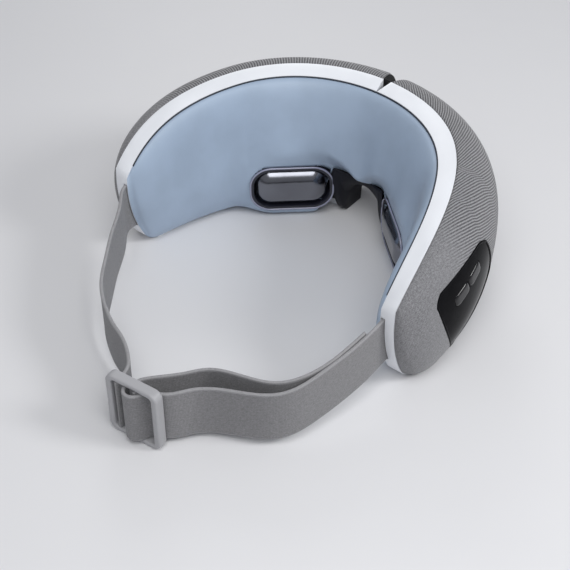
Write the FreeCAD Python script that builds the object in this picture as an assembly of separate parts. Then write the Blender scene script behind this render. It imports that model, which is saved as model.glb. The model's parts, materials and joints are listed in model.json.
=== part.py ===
import FreeCAD, Part
import math
import os

V = FreeCAD.Vector
UP = V(0, 0, 1)

# Rim of one half in plan: a brow arc about the mid-plane, then a flatter temple arc.
FRONT_R = 68.0
TEMPLE_OUT = 8.5
TEMPLE_RUN = 33.3
# Rim height: nearly level over the brow, falling into the temple corner.
TOP_Z = 77.7
CORNER_Z = 47.8
CORNER_FALL = 15.9
REAR_R = 75.0
REAR_MID_Z = 42.0
LOBE_R = 14.0
# White rim band.
TRIM_W = 9.1
TRIM_TAPER = 1.6
TRIM_RISE = 1.8
TRIM_T = 3.0
# Outer bulge of the covered shell.
BULGE = 23.2
BULGE_END = 6.0
BULGE_FULL = 2.3
BOTTOM_SINK = 1.5
COVER_T = 1.2
SHELL_T = 2.0
SEAM = 0.1
# Fold: hinge axis, notch and travel.
HINGE_Y = -1.0
NOTCH_HALF = 13.0
FOLD_IN = 50.0
FOLD_GAP = 1.0
KNUCKLE_R = 2.6
PIN_R = 1.2
PIN_CLEAR = 0.05
LEAF_T = 1.0
LEAF_L = 13.0
HINGE_Z0 = 30.0
HINGE_DROP = 7.7
KNUCKLES = 5
KNUCKLE_GAP = 0.2
SCREW_R = 0.8
SCREW_HEAD_R = 1.7
SCREW_HEAD_T = 0.8
SCREW_EDGE = 4.0
SCREW_BITE = 1.4
SCREW_ROOM = 0.4
PIN_HEAD = 0.9
PIN_HEAD_T = 1.2
# Nose arch.
ARCH_R = 13.0
ARCH_TOP = 22.5
NOSE_RELIEF = 4.0
# Inner frame and cushion.
FRAME_T = 2.5
CUSHION_T = 9.0
CUSHION_END_T = 7.0
CUSHION_LEAN = 15.0
LEAN_FROM = 40.0
LEAN_TO = 66.0
NOSE_BLEND = 14.0
NOSE_LEAN = 0.6
THIN_FROM = 45.0
THIN_TO = 70.0
CUSHION_EDGE = 0.8
# Massage head, in a tray turned to face the eye.
HEAD_PHI = 37.5
HEAD_IN = 18.2
HEAD_Z = 18.5
HEAD_TURN = 42.0
HEAD_W = 39.0
HEAD_H = 22.0
HEAD_T = 7.5
HEAD_WALL = 2.0
HEAD_CORNER = 9.0
HEAD_GAP = 0.4
TRAY_WALL = 2.1
TRAY_STEP = 2.0
CELL_T = 3.0
MOTOR_R = 5.0
MOTOR_T = 3.0
HEATER_T = 0.4
# Control panel and keys; the leaf's tips are given along y and z from the middle of the keys.
LEAF_TIPS = ((16.5, 14.0), (-24.5, 5.5), (-2.5, -41.0), (31.5, -18.0))
LEAF_SAG = 2.0
LEAF_CORNER = 4.0
PANEL_GAP = 0.15
KEY_PHI = 75.5
KEY_Z = 45.5
KEY_TURN = 84.0
KEY_TILT = 5.0
KEY_SLANT = 20.0
KEY_W = 11.0
KEY_H = 7.0
KEY_CORNER = 2.0
KEY_SPLIT = 0.9
KEY_GAP = 0.25
KEY_STEM = 6.5
KEY_TRAVEL = 0.7
SWITCH_W = 4.0
SWITCH_T = 1.6
SWITCH_GAP = 0.15
BOARD_T = 1.2
# Parts inside, each placed by plan angle, distance outside the rim, and height or drop from its top.
POST_ROOT = 0.7
POST_CORNER = 1.0
MAIN_PHI = 40.0
MAIN_D = 13.0
MAIN_DROP = 33.7
MAIN_W = 36.0
MAIN_H = 30.0
MAIN_CORNER = 2.0
MAIN_POST_W = 10.0
MAIN_POST_H = 16.0
CHIPS = ((-8.0, 5.0, 9.0, 9.0, 1.4), (8.0, 4.0, 6.0, 6.0, 1.2), (2.0, -9.0, 12.0, 5.0, 2.0))
PUMP_PHI = 17.0
PUMP_D = 14.0
PUMP_DROP = 45.7
PUMP_R = 7.5
PUMP_L = 30.0
SPOUT_R = 2.0
SPOUT_L = 5.0
VALVE_PHI = 62.0
VALVE_D = 8.0
VALVE_Z = 18.0
VALVE_W = 10.0
VALVE_H = 14.0
VALVE_T = 9.0
VALVE_CORNER = 1.5
BATTERY_PHI = 38.0
BATTERY_D = 9.0
BATTERY_DROP = 35.7
BATTERY_W = 36.0
BATTERY_H = 30.0
BATTERY_T = 7.0
BATTERY_CORNER = 2.5
SPEAKER_PHI = 68.0
SPEAKER_D = 9.0
SPEAKER_DROP = 33.7
SPEAKER_R = 9.0
SPEAKER_T = 3.0
PORT_PHI = 50.0
PORT_D = 15.0
PORT_Z = 0.4
PORT_W = 8.9
PORT_T = 3.2
PORT_L = 7.4
PORT_WALL = 0.3
PORT_GAP = 0.2
# Soft wall and flat harness that cross the fold.
GUSSET_R = 11.0
GUSSET_T = 1.0
GUSSET_DROP = 4.0
HARNESS_R = 6.2
HARNESS_T = 1.6
HARNESS_W = 9.0
HARNESS_Z = 50.0
# Strap: webbing, its anchor at the temples and the slider at the back.
STRAP_T = 1.4
STRAP_W = 28.0
STRAP_PLY = 1.45
STRAP_IN = 1.4
STRAP_OUT = 0.3
STRAP_BACK = 90.9
STRAP_LOW = 0.775
STRAP_DROP = 18.9
STRAP_EASE = 1.2
BAR_R = 1.5
BAR_IN = 12.0
LUG_T = 3.0
LUG_GAP = 1.0
SLOT_GAP = 0.4
TAB_GAP = 0.3
SLIDER_TURN = 5.0
SLIDER_BAR = 3.2
SLIDER_DEEP = 5.4
SLIDER_W = 28.0
SLIDER_RAIL = 2.4
SLIDER_CORNER = 4.0
SLIDER_SOFT = 1.0
SLIDER_WINDOW = 1.8
SLIDER_CLEAR = 0.4
HOOK_R = 4.0
LOOP_R = 2.9
# Webbing over the slider's middle bar, from that bar along the slider and toward the wearer.
WRAP = ((-3.7, 0.4), (-3.5, -2.3), (-2.2, -4.5), (0.0, -5.3), (2.6, -4.6),
        (4.6, -2.4), (6.3, 0.6), (9.3, 2.6), (13.3, 4.4))
# Strap routes from the left temple to the slider and from the slider to the right temple,
# as shares of the temple's half width and of the strap's reach behind it.
LEFT_ROUTE = ((1.0, 0.0), (0.815, 0.28), (0.61, 0.55), (0.29, 0.745), (0.067, 0.878))
OUTER_ROUTE = ((0.424, 0.818), (0.652, 0.7), (0.837, 0.598), (0.93, 0.406), (1.0, 0.0))
INNER_ROUTE = ((0.244, 0.825), (0.41, 0.673), (0.583, 0.622), (0.763, 0.565))
# Shares of the outer ply where the inner one lies on it.
JOIN_SHARES = (0.80, 0.84, 0.88, 0.92)

TEMPLE_X = FRONT_R + TEMPLE_OUT
TEMPLE_Y = FRONT_R + TEMPLE_RUN
D = (TEMPLE_RUN ** 2 + TEMPLE_OUT ** 2) / (2 * TEMPLE_OUT)
SIDE_R = FRONT_R + D
SIDE_CX = TEMPLE_X - SIDE_R
BLEND = math.degrees(math.asin(-SIDE_CX / D))
STATIONS = [0.0, 12.0, 25.0, 42.0, BLEND, 71.0, 79.0, 86.0, 93.0]
TOP_FALL = TOP_Z - CORNER_Z - CORNER_FALL
HINGE_Z1 = TOP_Z - HINGE_DROP
MAIN_Z = TOP_Z - MAIN_DROP
PUMP_Z = TOP_Z - PUMP_DROP
BATTERY_Z = TOP_Z - BATTERY_DROP
SPEAKER_Z = TOP_Z - SPEAKER_DROP
SLIDER_H = STRAP_W + 2 * (SLIDER_RAIL + SLIDER_CLEAR)
SLIDER_Z = SLIDER_H / 2
STRAP_TEMPLE_Z = CORNER_Z - STRAP_DROP
STRAP_X = TEMPLE_X + STRAP_IN
STRAP_Y = -TEMPLE_Y - STRAP_OUT
BAR_Y = -TEMPLE_Y + BAR_IN
SLIDER_Y = STRAP_Y - STRAP_BACK
BIG = 300.0


def at(phi, d, z):
    """Point at plan angle phi (degrees), d outside the rim's inner edge, height z."""
    a = math.radians(phi)
    if phi <= BLEND:
        return V((FRONT_R + d) * math.sin(a), -FRONT_R + (FRONT_R + d) * math.cos(a), z)
    return V(SIDE_CX + (SIDE_R + d) * math.sin(a), -TEMPLE_Y + (SIDE_R + d) * math.cos(a), z)


def rim_top(phi):
    t = -at(phi, 0, 0).y / TEMPLE_Y
    return TOP_Z - TOP_FALL * t ** 2 - CORNER_FALL * t ** 6


def trim_width(phi):
    return TRIM_W - TRIM_TAPER * (phi / 90) ** 2


def bulge(phi):
    return BULGE - (BULGE - BULGE_END) * (phi / 90) ** 6


def smooth(a, b, x):
    t = min(1.0, max(0.0, (x - a) / (b - a)))
    return t * t * (3 - 2 * t)


def spline(points):
    curve = Part.BSplineCurve()
    curve.interpolate(points)
    return curve.toShape()


def bow(phi, inset, steps=12):
    """The shell's outer curve at one station, top to bottom."""
    w = trim_width(phi)
    top = rim_top(phi) + TRIM_RISE - inset
    low = inset - BOTTOM_SINK
    points = []
    for k in range(steps + 1):
        a = math.pi * (0.5 - k / steps)
        c = max(0.0, math.cos(a)) ** (2 / BULGE_FULL)
        s = math.copysign(abs(math.sin(a)) ** (2 / BULGE_FULL), math.sin(a))
        z = (top + low) / 2 + s * (top - low) / 2
        points.append(at(phi, w + c * (bulge(phi) - inset), z))
    return points


def bow_wire(phi, inset, mouth):
    """Closed shell section; mouth carries the flat side past the rim so that a cut opens it."""
    points = bow(phi, inset)
    if not mouth:
        return Part.Wire([spline(points), Part.makeLine(points[-1], points[0])])
    w = trim_width(phi) - mouth
    low = at(phi, w, points[-1].z)
    top = at(phi, w, points[0].z)
    sides = [points[-1], low, top, points[0]]
    return Part.Wire([spline(points)] + [Part.makeLine(p, q) for p, q in zip(sides, sides[1:])])


def quad_wire(phi, d0, d1, inset):
    rise = TRIM_RISE / trim_width(phi)
    top = rim_top(phi) - inset
    corners = [at(phi, d0, inset), at(phi, d1, inset)]
    corners += [at(phi, d, top + rise * d) for d in (d1, d0)]
    return Part.makePolygon(corners + corners[:1])


def cushion_wire(phi, steps=12):
    top = rim_top(phi) - CUSHION_EDGE
    low = CUSHION_EDGE
    thick = CUSHION_T - (CUSHION_T - CUSHION_END_T) * smooth(THIN_FROM, THIN_TO, phi)
    nose = NOSE_LEAN + (1 - NOSE_LEAN) * smooth(0, NOSE_BLEND, phi)
    lean = CUSHION_LEAN * (1 - smooth(LEAN_FROM, LEAN_TO, phi)) * nose
    points = []
    for k in range(steps + 1):
        a = math.pi * (0.5 - k / steps)
        c = max(0.0, math.cos(a)) ** (2 / BULGE_FULL)
        s = math.copysign(abs(math.sin(a)) ** (2 / BULGE_FULL), math.sin(a))
        down = (1 - s) / 2
        d = SEAM + thick * c + lean * down ** 1.2 * (1 - down ** 8)
        points.append(at(phi, -d, (top + low) / 2 + s * (top - low) / 2))
    return Part.Wire([spline(points), Part.makeLine(points[-1], points[0])])


def loft(section):
    return Part.makeLoft([section(phi) for phi in STATIONS], True, False)


def notch_side(angle, inset=0.0):
    """Block left of the upright plane through the hinge axis, angle degrees from straight ahead."""
    block = Part.makeBox(BIG, 2 * BIG, BIG, V(inset - BIG, -BIG, -BIG / 2))
    block.rotate(V(0, 0, 0), UP, -angle)
    block.translate(V(0, HINGE_Y, 0))
    return block


def arch(inset):
    r = ARCH_R + inset
    z = ARCH_TOP - ARCH_R
    dome = Part.makeCylinder(r, BIG, V(0, -BIG / 2, z), V(0, 1, 0))
    legs = Part.makeBox(2 * r, BIG, z + BIG / 2, V(-r, -BIG / 2, -BIG / 2))
    return dome.fuse(legs)


def side_profile(inset):
    """Prism along x inside the base line and the bowed temple end, with a round lobe between."""
    mid_y = REAR_R - TEMPLE_Y
    big_r = REAR_R - inset
    r = LOBE_R - inset
    lobe_z = inset + r
    lobe_y = mid_y - math.sqrt((big_r - r) ** 2 - (REAR_MID_Z - lobe_z) ** 2)
    away = V(0, lobe_y - mid_y, lobe_z - REAR_MID_Z).normalize()
    base = V(0, lobe_y, inset)
    meet = V(0, mid_y, REAR_MID_Z) + away * big_r
    turn = (away + V(0, 0, -1)).normalize()
    crown = V(0, mid_y, REAR_MID_Z + big_r)
    back = V(0, inset - TEMPLE_Y, REAR_MID_Z)
    front = V(0, BIG, REAR_MID_Z + big_r)
    corner = V(0, BIG, inset)
    edges = [Part.Arc(base, V(0, lobe_y, lobe_z) + turn * r, meet).toShape(),
             Part.Arc(meet, back, crown).toShape()]
    for p, q in ((crown, front), (front, corner), (corner, base)):
        edges.append(Part.makeLine(p, q))
    return Part.Face(Part.Wire(edges)).extrude(V(BIG, 0, 0))


def clip(shape, inset, notch=True, nose=0.0):
    """Give a lofted half its temple end, base, notch face and nose arch, all moved in by inset."""
    shape = shape.common(side_profile(inset))
    if notch:
        shape = shape.cut(notch_side(NOTCH_HALF, inset))
    return shape.cut(arch(inset + nose))


def tablet(wide, high, deep, corner, y0=0.0):
    """Upright rounded block centred on x and z, from y0 to y0 + deep."""
    block = Part.makeBox(wide, deep, high, V(-wide / 2, y0, -high / 2))
    edges = [e for e in block.Edges if abs(e.tangentAt(e.FirstParameter).y) > 0.9]
    return block.makeFillet(min(corner, 0.45 * wide, 0.45 * high), edges)


def on_rim(shape, phi, d, z):
    """Carry a shape from its own axes (x along the rim, y outward) to a place on the rim."""
    out = shape.copy()
    place = FreeCAD.Placement(at(phi, d, z), FreeCAD.Rotation(UP, -phi))
    out.Placement = place.multiply(shape.Placement)
    return out


def on_head(shape):
    out = shape.copy()
    out.Placement = FreeCAD.Placement(at(HEAD_PHI, -HEAD_IN, HEAD_Z), FreeCAD.Rotation(UP, -HEAD_TURN))
    return out


def skin_at(phi, z):
    """Point of the cover's outer face at one plan angle and height."""
    top = rim_top(phi) + TRIM_RISE
    half = (top + BOTTOM_SINK) / 2
    s = abs(z - top + half) / half
    return at(phi, trim_width(phi) + bulge(phi) * (1 - s ** BULGE_FULL) ** (1 / BULGE_FULL), z)


def key_axes():
    a = math.radians(KEY_TURN)
    b = math.radians(KEY_TILT)
    out = V(math.cos(b) * math.sin(a), math.cos(b) * math.cos(a), math.sin(b))
    back = V(math.cos(a), -math.sin(a), 0)
    turn = FreeCAD.Rotation(back, out, back.cross(out), "XYZ")
    slant = FreeCAD.Rotation(V(0, 1, 0), KEY_SLANT)
    return FreeCAD.Placement(skin_at(KEY_PHI, KEY_Z), turn.multiply(slant))


def on_key(shape):
    """Carry a shape from its own axes (y outward) to the middle of the two keys."""
    out = shape.copy()
    out.Placement = key_axes().multiply(shape.Placement)
    return out


def mirrored(shape):
    return shape.mirror(V(0, 0, 0), V(1, 0, 0))


def upright(x, y, r, z0, z1):
    return Part.makeCylinder(r, z1 - z0, V(x, y, z0), UP)


nodes = {}


def pair(name, shape):
    nodes[name + "_right"] = shape
    nodes[name + "_left"] = mirrored(shape)


# Covered shell: three nested lofts from one section.
skin = clip(loft(lambda p: bow_wire(p, 0.0, 0.0)), 0.0)
under_cover = clip(loft(lambda p: bow_wire(p, COVER_T, 4.0)), COVER_T)
shell_in = COVER_T + SEAM
core = clip(loft(lambda p: bow_wire(p, shell_in, 0.0)), shell_in)
cavity = clip(loft(lambda p: bow_wire(p, shell_in + SHELL_T, 4.0)), shell_in + SHELL_T)
cover = skin.cut(under_cover)
shell = core.cut(cavity)

# Rim band and the frame plate seated in it.
ring = clip(loft(lambda p: quad_wire(p, 0.0, trim_width(p) - SEAM, 0.0)), 0.0)
ring = ring.cut(clip(loft(lambda p: quad_wire(p, -TRIM_T, trim_width(p) + TRIM_T, TRIM_T)), TRIM_T))
frame = clip(loft(lambda p: quad_wire(p, SEAM, FRAME_T, TRIM_T + SEAM)), TRIM_T + SEAM)

# Cushion: full on each half, with a soft bridge between the fold planes.
half_cushion = clip(loft(cushion_wire), CUSHION_EDGE, notch=False, nose=NOSE_RELIEF)
split = Part.makeBox(BIG, 2 * BIG, BIG, V(0, -BIG, -BIG / 2))
split.rotate(V(0, 0, 0), UP, FOLD_IN / 2 + FOLD_GAP)
split.translate(V(0, HINGE_Y, 0))
cushion = half_cushion.common(split).cut(notch_side(NOTCH_HALF, SEAM))
bridge = half_cushion.cut(split)

# Hinge on the upright axis at the notch.
knuckle_h = (HINGE_Z1 - HINGE_Z0) / KNUCKLES
barrel_room = upright(0, HINGE_Y, KNUCKLE_R + SCREW_ROOM, HINGE_Z0 - KNUCKLE_R, HINGE_Z1 + KNUCKLE_R)
leaf_plate = Part.makeBox(LEAF_L, LEAF_T, HINGE_Z1 - HINGE_Z0, V(0, HINGE_Y, HINGE_Z0))
screws = []
screw_x = LEAF_L - SCREW_EDGE
screw_rooms = []
for z in (HINGE_Z0 + knuckle_h, HINGE_Z1 - knuckle_h):
    head = Part.makeCylinder(SCREW_HEAD_R, SCREW_HEAD_T, V(screw_x, HINGE_Y - SCREW_HEAD_T, z), V(0, 1, 0))
    shank = Part.makeCylinder(SCREW_R, LEAF_T + SCREW_BITE, V(screw_x, HINGE_Y, z), V(0, 1, 0))
    screws.append(head.fuse(shank))
    room_at = V(screw_x, HINGE_Y - SCREW_HEAD_T - SCREW_ROOM, z)
    screw_rooms.append(Part.makeCylinder(SCREW_HEAD_R + SCREW_ROOM, 2 * SCREW_HEAD_T, room_at, V(0, 1, 0)))
screw_set = Part.makeCompound(screws)
screw_room = Part.makeCompound(screw_rooms)


def hinge_leaf(own):
    """Leaf for +x; own tells which knuckles it carries, counted from the bottom."""
    leaf = leaf_plate.cut(barrel_room)
    for k in range(KNUCKLES):
        z0 = HINGE_Z0 + k * knuckle_h + KNUCKLE_GAP / 2
        z1 = z0 + knuckle_h - KNUCKLE_GAP
        if k % 2 == own:
            arm = Part.makeBox(KNUCKLE_R + LEAF_T, LEAF_T, z1 - z0, V(0, HINGE_Y, z0))
            leaf = leaf.fuse(upright(0, HINGE_Y, KNUCKLE_R, z0, z1).fuse(arm))
    leaf = leaf.cut(upright(0, HINGE_Y, PIN_R + PIN_CLEAR, HINGE_Z0 - 1, HINGE_Z1 + 1))
    return leaf.cut(screw_set).removeSplitter()


nodes["hinge_leaf_right"] = hinge_leaf(0)
nodes["hinge_leaf_left"] = mirrored(hinge_leaf(1))
pin = upright(0, HINGE_Y, PIN_R, HINGE_Z0, HINGE_Z1)
pin_z0 = HINGE_Z0 + KNUCKLE_GAP / 2
pin_z1 = HINGE_Z1 - KNUCKLE_GAP / 2
for z in (pin_z0 - PIN_HEAD_T, pin_z1):
    pin = pin.fuse(upright(0, HINGE_Y, PIN_R + PIN_HEAD, z, z + PIN_HEAD_T))
nodes["hinge_pin"] = pin.removeSplitter()
pair("hinge_screws", screw_set)

hinge_room = barrel_room.fuse(leaf_plate).fuse(mirrored(leaf_plate))
ring = ring.cut(hinge_room)
frame = frame.cut(hinge_room).cut(screw_set)
cushion = cushion.cut(hinge_room).cut(screw_room)
bridge = bridge.cut(hinge_room).cut(screw_room)

# Massage head, its tray and what works it.
tray_w = HEAD_W + 2 * (HEAD_GAP + TRAY_WALL)
tray_h = HEAD_H + 2 * (HEAD_GAP + TRAY_WALL)
tray_corner = HEAD_CORNER + HEAD_GAP + TRAY_WALL
tray_floor = HEAD_T + CELL_T
well = tablet(HEAD_W + 2 * HEAD_GAP, HEAD_H + 2 * HEAD_GAP, tray_floor, HEAD_CORNER + HEAD_GAP)
tray_t = tray_floor + HEAD_WALL - TRAY_STEP
tray_block = tablet(tray_w, tray_h, tray_t, tray_corner, TRAY_STEP)
tray = tray_block.cut(well)
head = tablet(HEAD_W, HEAD_H, HEAD_T, HEAD_CORNER)
front_edges = [e for e in head.Edges if e.BoundBox.YMax < 0.01]
head = head.makeFillet(HEAD_WALL, front_edges)
pocket_corner = HEAD_CORNER - HEAD_WALL
pocket_w = HEAD_W - 2 * HEAD_WALL
pocket_h = HEAD_H - 2 * HEAD_WALL
head = head.cut(tablet(pocket_w, pocket_h, HEAD_T, pocket_corner, HEAD_WALL))
heater = tablet(pocket_w - 2 * HEAD_WALL, pocket_h - 2 * HEAD_WALL, HEATER_T, pocket_corner, HEAD_WALL)
motor = Part.makeCylinder(MOTOR_R, MOTOR_T, V(0, HEAD_WALL + HEATER_T, 0), V(0, 1, 0))
cell = tablet(HEAD_W - HEAD_WALL, HEAD_H - HEAD_WALL, CELL_T, pocket_corner, HEAD_T)
pair("head_tray", on_head(tray))
pair("massage_head", on_head(head))
pair("heater_film", on_head(heater))
pair("vibration_motor", on_head(motor))
pair("air_cell", on_head(cell))
tray_depth = 2 * tray_floor
window = on_head(tablet(tray_w + SEAM, tray_h + SEAM, 2 * tray_depth, tray_corner, -tray_depth))
cushion = cushion.cut(window)
bridge = bridge.cut(window)
nodes["cushion_bridge"] = bridge.fuse(mirrored(bridge)).removeSplitter()
frame = frame.cut(on_head(tablet(tray_w + SEAM, tray_h + SEAM, tray_t, tray_corner, TRAY_STEP)))
tray_back = TRAY_STEP + tray_t
boss_t = HEAD_IN - tray_back + FRAME_T / 2
frame = frame.fuse(on_head(tablet(tray_w / 2, tray_h / 2, boss_t, HEAD_WALL, tray_back)))

# Strap anchor: slot in the rim's temple end, bar on two lugs, webbing tab round the bar.
tab_z0 = STRAP_TEMPLE_Z - STRAP_W / 2
tab_z1 = tab_z0 + STRAP_W
slot = Part.makeBox(STRAP_T + 2 * SLOT_GAP, 2 * BAR_IN, STRAP_W + 2 * SLOT_GAP,
                    V(STRAP_X - STRAP_T / 2 - SLOT_GAP, BAR_Y - 2 * BAR_IN, tab_z0 - SLOT_GAP))
ring = ring.cut(slot)
loop_r = BAR_R + STRAP_T
bar_z0 = tab_z0 - LUG_GAP - LUG_T
bar_z1 = tab_z1 + LUG_GAP + LUG_T
room = Part.makeBox(6 * loop_r, BAR_IN + loop_r, STRAP_W + 2 * LUG_GAP,
                    V(STRAP_X - 3 * loop_r, -TEMPLE_Y, tab_z0 - LUG_GAP))
frame = frame.cut(room)
for z in (bar_z0, bar_z1 - LUG_T):
    lug = Part.makeBox(LUG_T + BAR_R, 4 * BAR_R, LUG_T, V(STRAP_X - BAR_R, BAR_Y - 2 * BAR_R, z))
    frame = frame.fuse(lug.common(side_profile(TRIM_T + SEAM)))
bar = upright(STRAP_X, BAR_Y, BAR_R, bar_z0, bar_z1)
frame = frame.cut(bar)
tab = upright(STRAP_X, BAR_Y, loop_r, tab_z0, tab_z1)
tab_end = STRAP_Y + STRAP_T / 2 + TAB_GAP
tongue = Part.makeBox(STRAP_T, BAR_Y - tab_end, STRAP_W, V(STRAP_X - STRAP_T / 2, tab_end, tab_z0))
tab = tab.fuse(tongue)
tab = tab.cut(bar).removeSplitter()
loop_room = upright(STRAP_X, BAR_Y, loop_r + SLOT_GAP, tab_z0 - SLOT_GAP, tab_z1 + SLOT_GAP)
cushion = cushion.cut(loop_room).cut(bar)
pair("strap_bar", bar)
pair("strap_tab", tab)
pair("cushion", cushion)
pair("trim", ring)


# Control panel and its keys, let into the right cover.
def leaf_prism(grow):
    """Prism along x with the panel's bowed four-sided outline, grown all round."""
    keys_at = skin_at(KEY_PHI, KEY_Z)
    start = TEMPLE_X - 2 * TRIM_W
    points = [V(start, keys_at.y + y, keys_at.z + z) for y, z in LEAF_TIPS]
    middle = (points[0] + points[1] + points[2] + points[3]) * 0.25
    tips = [p + (p - middle).normalize() * grow for p in points]
    edges = []
    for p, q in zip(tips, tips[1:] + tips[:1]):
        mid = (p + q) * 0.5
        away = (mid - middle).normalize()
        edges.append(Part.Arc(p, mid + away * LEAF_SAG, q).toShape())
    prism = Part.Face(Part.Wire(edges)).extrude(V(BIG, 0, 0))
    corners = [e for e in prism.Edges if abs(e.tangentAt(e.FirstParameter).x) > 0.9]
    return prism.makeFillet(LEAF_CORNER, corners)


nodes["cover_right"] = cover.cut(leaf_prism(0.0))
panel = cover.common(leaf_prism(-PANEL_GAP))
key_pitch = KEY_W + KEY_SPLIT
shell_right = shell
for name, side in (("mode_key", 0.5), ("power_key", -0.5)):
    plug = tablet(KEY_W, KEY_H, 2 * KEY_STEM, KEY_CORNER, -KEY_STEM)
    plug.translate(V(side * key_pitch, 0, 0))
    hole = tablet(KEY_W + 2 * KEY_GAP, KEY_H + 2 * KEY_GAP, 4 * KEY_STEM, KEY_CORNER + KEY_GAP, -2 * KEY_STEM)
    hole.translate(V(side * key_pitch, 0, 0))
    plug = on_key(plug)
    hole = on_key(hole)
    nodes[name] = plug.common(skin)
    panel = panel.cut(hole)
    shell_right = shell_right.cut(hole)
nodes["control_panel"] = panel
nodes["shell_right"] = shell_right
board_y = -KEY_STEM - KEY_TRAVEL - SWITCH_GAP - SWITCH_T
board = tablet(2 * key_pitch, KEY_H + 4, BOARD_T, 1.0, board_y - BOARD_T)
for side in (0.5, -0.5):
    corner = V(side * key_pitch - SWITCH_W / 2, board_y, -SWITCH_W / 2)
    board = board.fuse(Part.makeBox(SWITCH_W, SWITCH_T, SWITCH_W, corner))
nodes["key_board"] = on_key(board.removeSplitter())
reach = 2 * BULGE
key_post = on_key(tablet(KEY_W, KEY_H, reach, 1.0, board_y - BOARD_T - reach))
key_post = key_post.cut(loft(lambda p: quad_wire(p, -reach, POST_ROOT, 0.0)))


# Boards, pump, valve, battery, speaker and charge port on posts from the frames.
def rim_post(phi, z, wide, high, d):
    return on_rim(tablet(wide, high, d - POST_ROOT, POST_CORNER), phi, POST_ROOT, z)


main_board = tablet(MAIN_W, MAIN_H, BOARD_T, MAIN_CORNER)
for x, z, w, h, t in CHIPS:
    main_board = main_board.fuse(Part.makeBox(w, t, h, V(x - w / 2, BOARD_T, z - h / 2)))
nodes["main_board"] = on_rim(main_board.removeSplitter(), MAIN_PHI, MAIN_D, MAIN_Z)
frame_right = frame.fuse(rim_post(MAIN_PHI, MAIN_Z, MAIN_POST_W, MAIN_POST_H, MAIN_D))

pump_at = at(PUMP_PHI, PUMP_D, 0)
pump_top = PUMP_Z + PUMP_L
pump = upright(pump_at.x, pump_at.y, PUMP_R, PUMP_Z, pump_top)
pump = pump.fuse(upright(pump_at.x, pump_at.y, SPOUT_R, pump_top, pump_top + SPOUT_L))
nodes["air_pump"] = pump
pump_post = rim_post(PUMP_PHI, PUMP_Z + PUMP_L / 2, PUMP_R, PUMP_L / 2, PUMP_D - PUMP_R / 2)
frame_right = frame_right.fuse(pump_post.cut(pump))

valve = tablet(VALVE_W, VALVE_H, VALVE_T, VALVE_CORNER)
valve = valve.fuse(Part.makeCylinder(SPOUT_R, SPOUT_L, V(0, VALVE_T / 2, VALVE_H / 2), UP))
nodes["air_valve"] = on_rim(valve, VALVE_PHI, VALVE_D, VALVE_Z)
frame_right = frame_right.fuse(rim_post(VALVE_PHI, VALVE_Z, VALVE_W / 2, VALVE_H / 2, VALVE_D))
nodes["frame_right"] = frame_right.fuse(key_post).removeSplitter()

battery = tablet(BATTERY_W, BATTERY_H, BATTERY_T, BATTERY_CORNER)
nodes["battery"] = mirrored(on_rim(battery, BATTERY_PHI, BATTERY_D, BATTERY_Z))
frame_left = frame.fuse(rim_post(BATTERY_PHI, BATTERY_Z, BATTERY_W / 3, BATTERY_H / 2, BATTERY_D))
speaker = Part.makeCylinder(SPEAKER_R, SPEAKER_T, V(0, 0, 0), V(0, 1, 0))
speaker = speaker.fuse(Part.makeCylinder(SPEAKER_R * 0.7, 2 * SPEAKER_T, V(0, 0, 0), V(0, 1, 0)))
nodes["speaker"] = mirrored(on_rim(speaker.removeSplitter(), SPEAKER_PHI, SPEAKER_D, SPEAKER_Z))
frame_left = frame_left.fuse(rim_post(SPEAKER_PHI, SPEAKER_Z, SPEAKER_R, SPEAKER_R, SPEAKER_D))


def port_block(grow, z0, z1):
    """Upright block of the port's rounded outline, grown all round."""
    wide = PORT_W + 2 * grow
    thick = PORT_T + 2 * grow
    block = Part.makeBox(wide, thick, z1 - z0, V(-wide / 2, -thick / 2, z0))
    corners = [e for e in block.Edges if abs(e.tangentAt(e.FirstParameter).z) > 0.9]
    return block.makeFillet(0.45 * thick, corners)


tongue_w = PORT_W - 10 * PORT_WALL
tongue_at = V(-tongue_w / 2, -PORT_WALL, 3 * PORT_WALL)
tongue = Part.makeBox(tongue_w, 2 * PORT_WALL, PORT_L - 4 * PORT_WALL, tongue_at)
port = port_block(0.0, 0.0, PORT_L).cut(port_block(-PORT_WALL, 0.0, PORT_L - 3 * PORT_WALL)).fuse(tongue)
nodes["charge_port"] = mirrored(on_rim(port, PORT_PHI, PORT_D, PORT_Z))
port_hole = on_rim(port_block(PORT_GAP, -PORT_L, PORT_L), PORT_PHI, PORT_D, 0)
nodes["cover_left"] = mirrored(cover.cut(port_hole))
nodes["shell_left"] = mirrored(shell.cut(port_hole))
port_z = PORT_Z + 0.75 * PORT_L
frame_left = frame_left.fuse(rim_post(PORT_PHI, port_z, PORT_W, PORT_L / 2, PORT_D - PORT_T / 2))
nodes["frame_left"] = mirrored(frame_left.removeSplitter())


# Gusset across the notch, and the harness behind it.
def sector(r0, r1, half, z0, z1):
    """Upright wall round the hinge axis, half degrees to each side of straight ahead."""
    wall = upright(0, HINGE_Y, r1, z0, z1).cut(upright(0, HINGE_Y, r0, z0, z1))
    return wall.common(notch_side(half)).common(mirrored(notch_side(half)))


gusset_z0 = ARCH_TOP + GUSSET_T
nodes["fold_gusset"] = sector(GUSSET_R, GUSSET_R + GUSSET_T, NOTCH_HALF, gusset_z0, TOP_Z - GUSSET_DROP)
nodes["fold_harness"] = sector(HARNESS_R, HARNESS_R + HARNESS_T, NOTCH_HALF, HARNESS_Z, HARNESS_Z + HARNESS_W)


# Strap.
def strap_mid(y):
    t = max(0.0, 1 - (STRAP_Y - y) / (STRAP_LOW * STRAP_BACK))
    return SLIDER_Z + (STRAP_TEMPLE_Z - SLIDER_Z) * t ** STRAP_EASE


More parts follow.
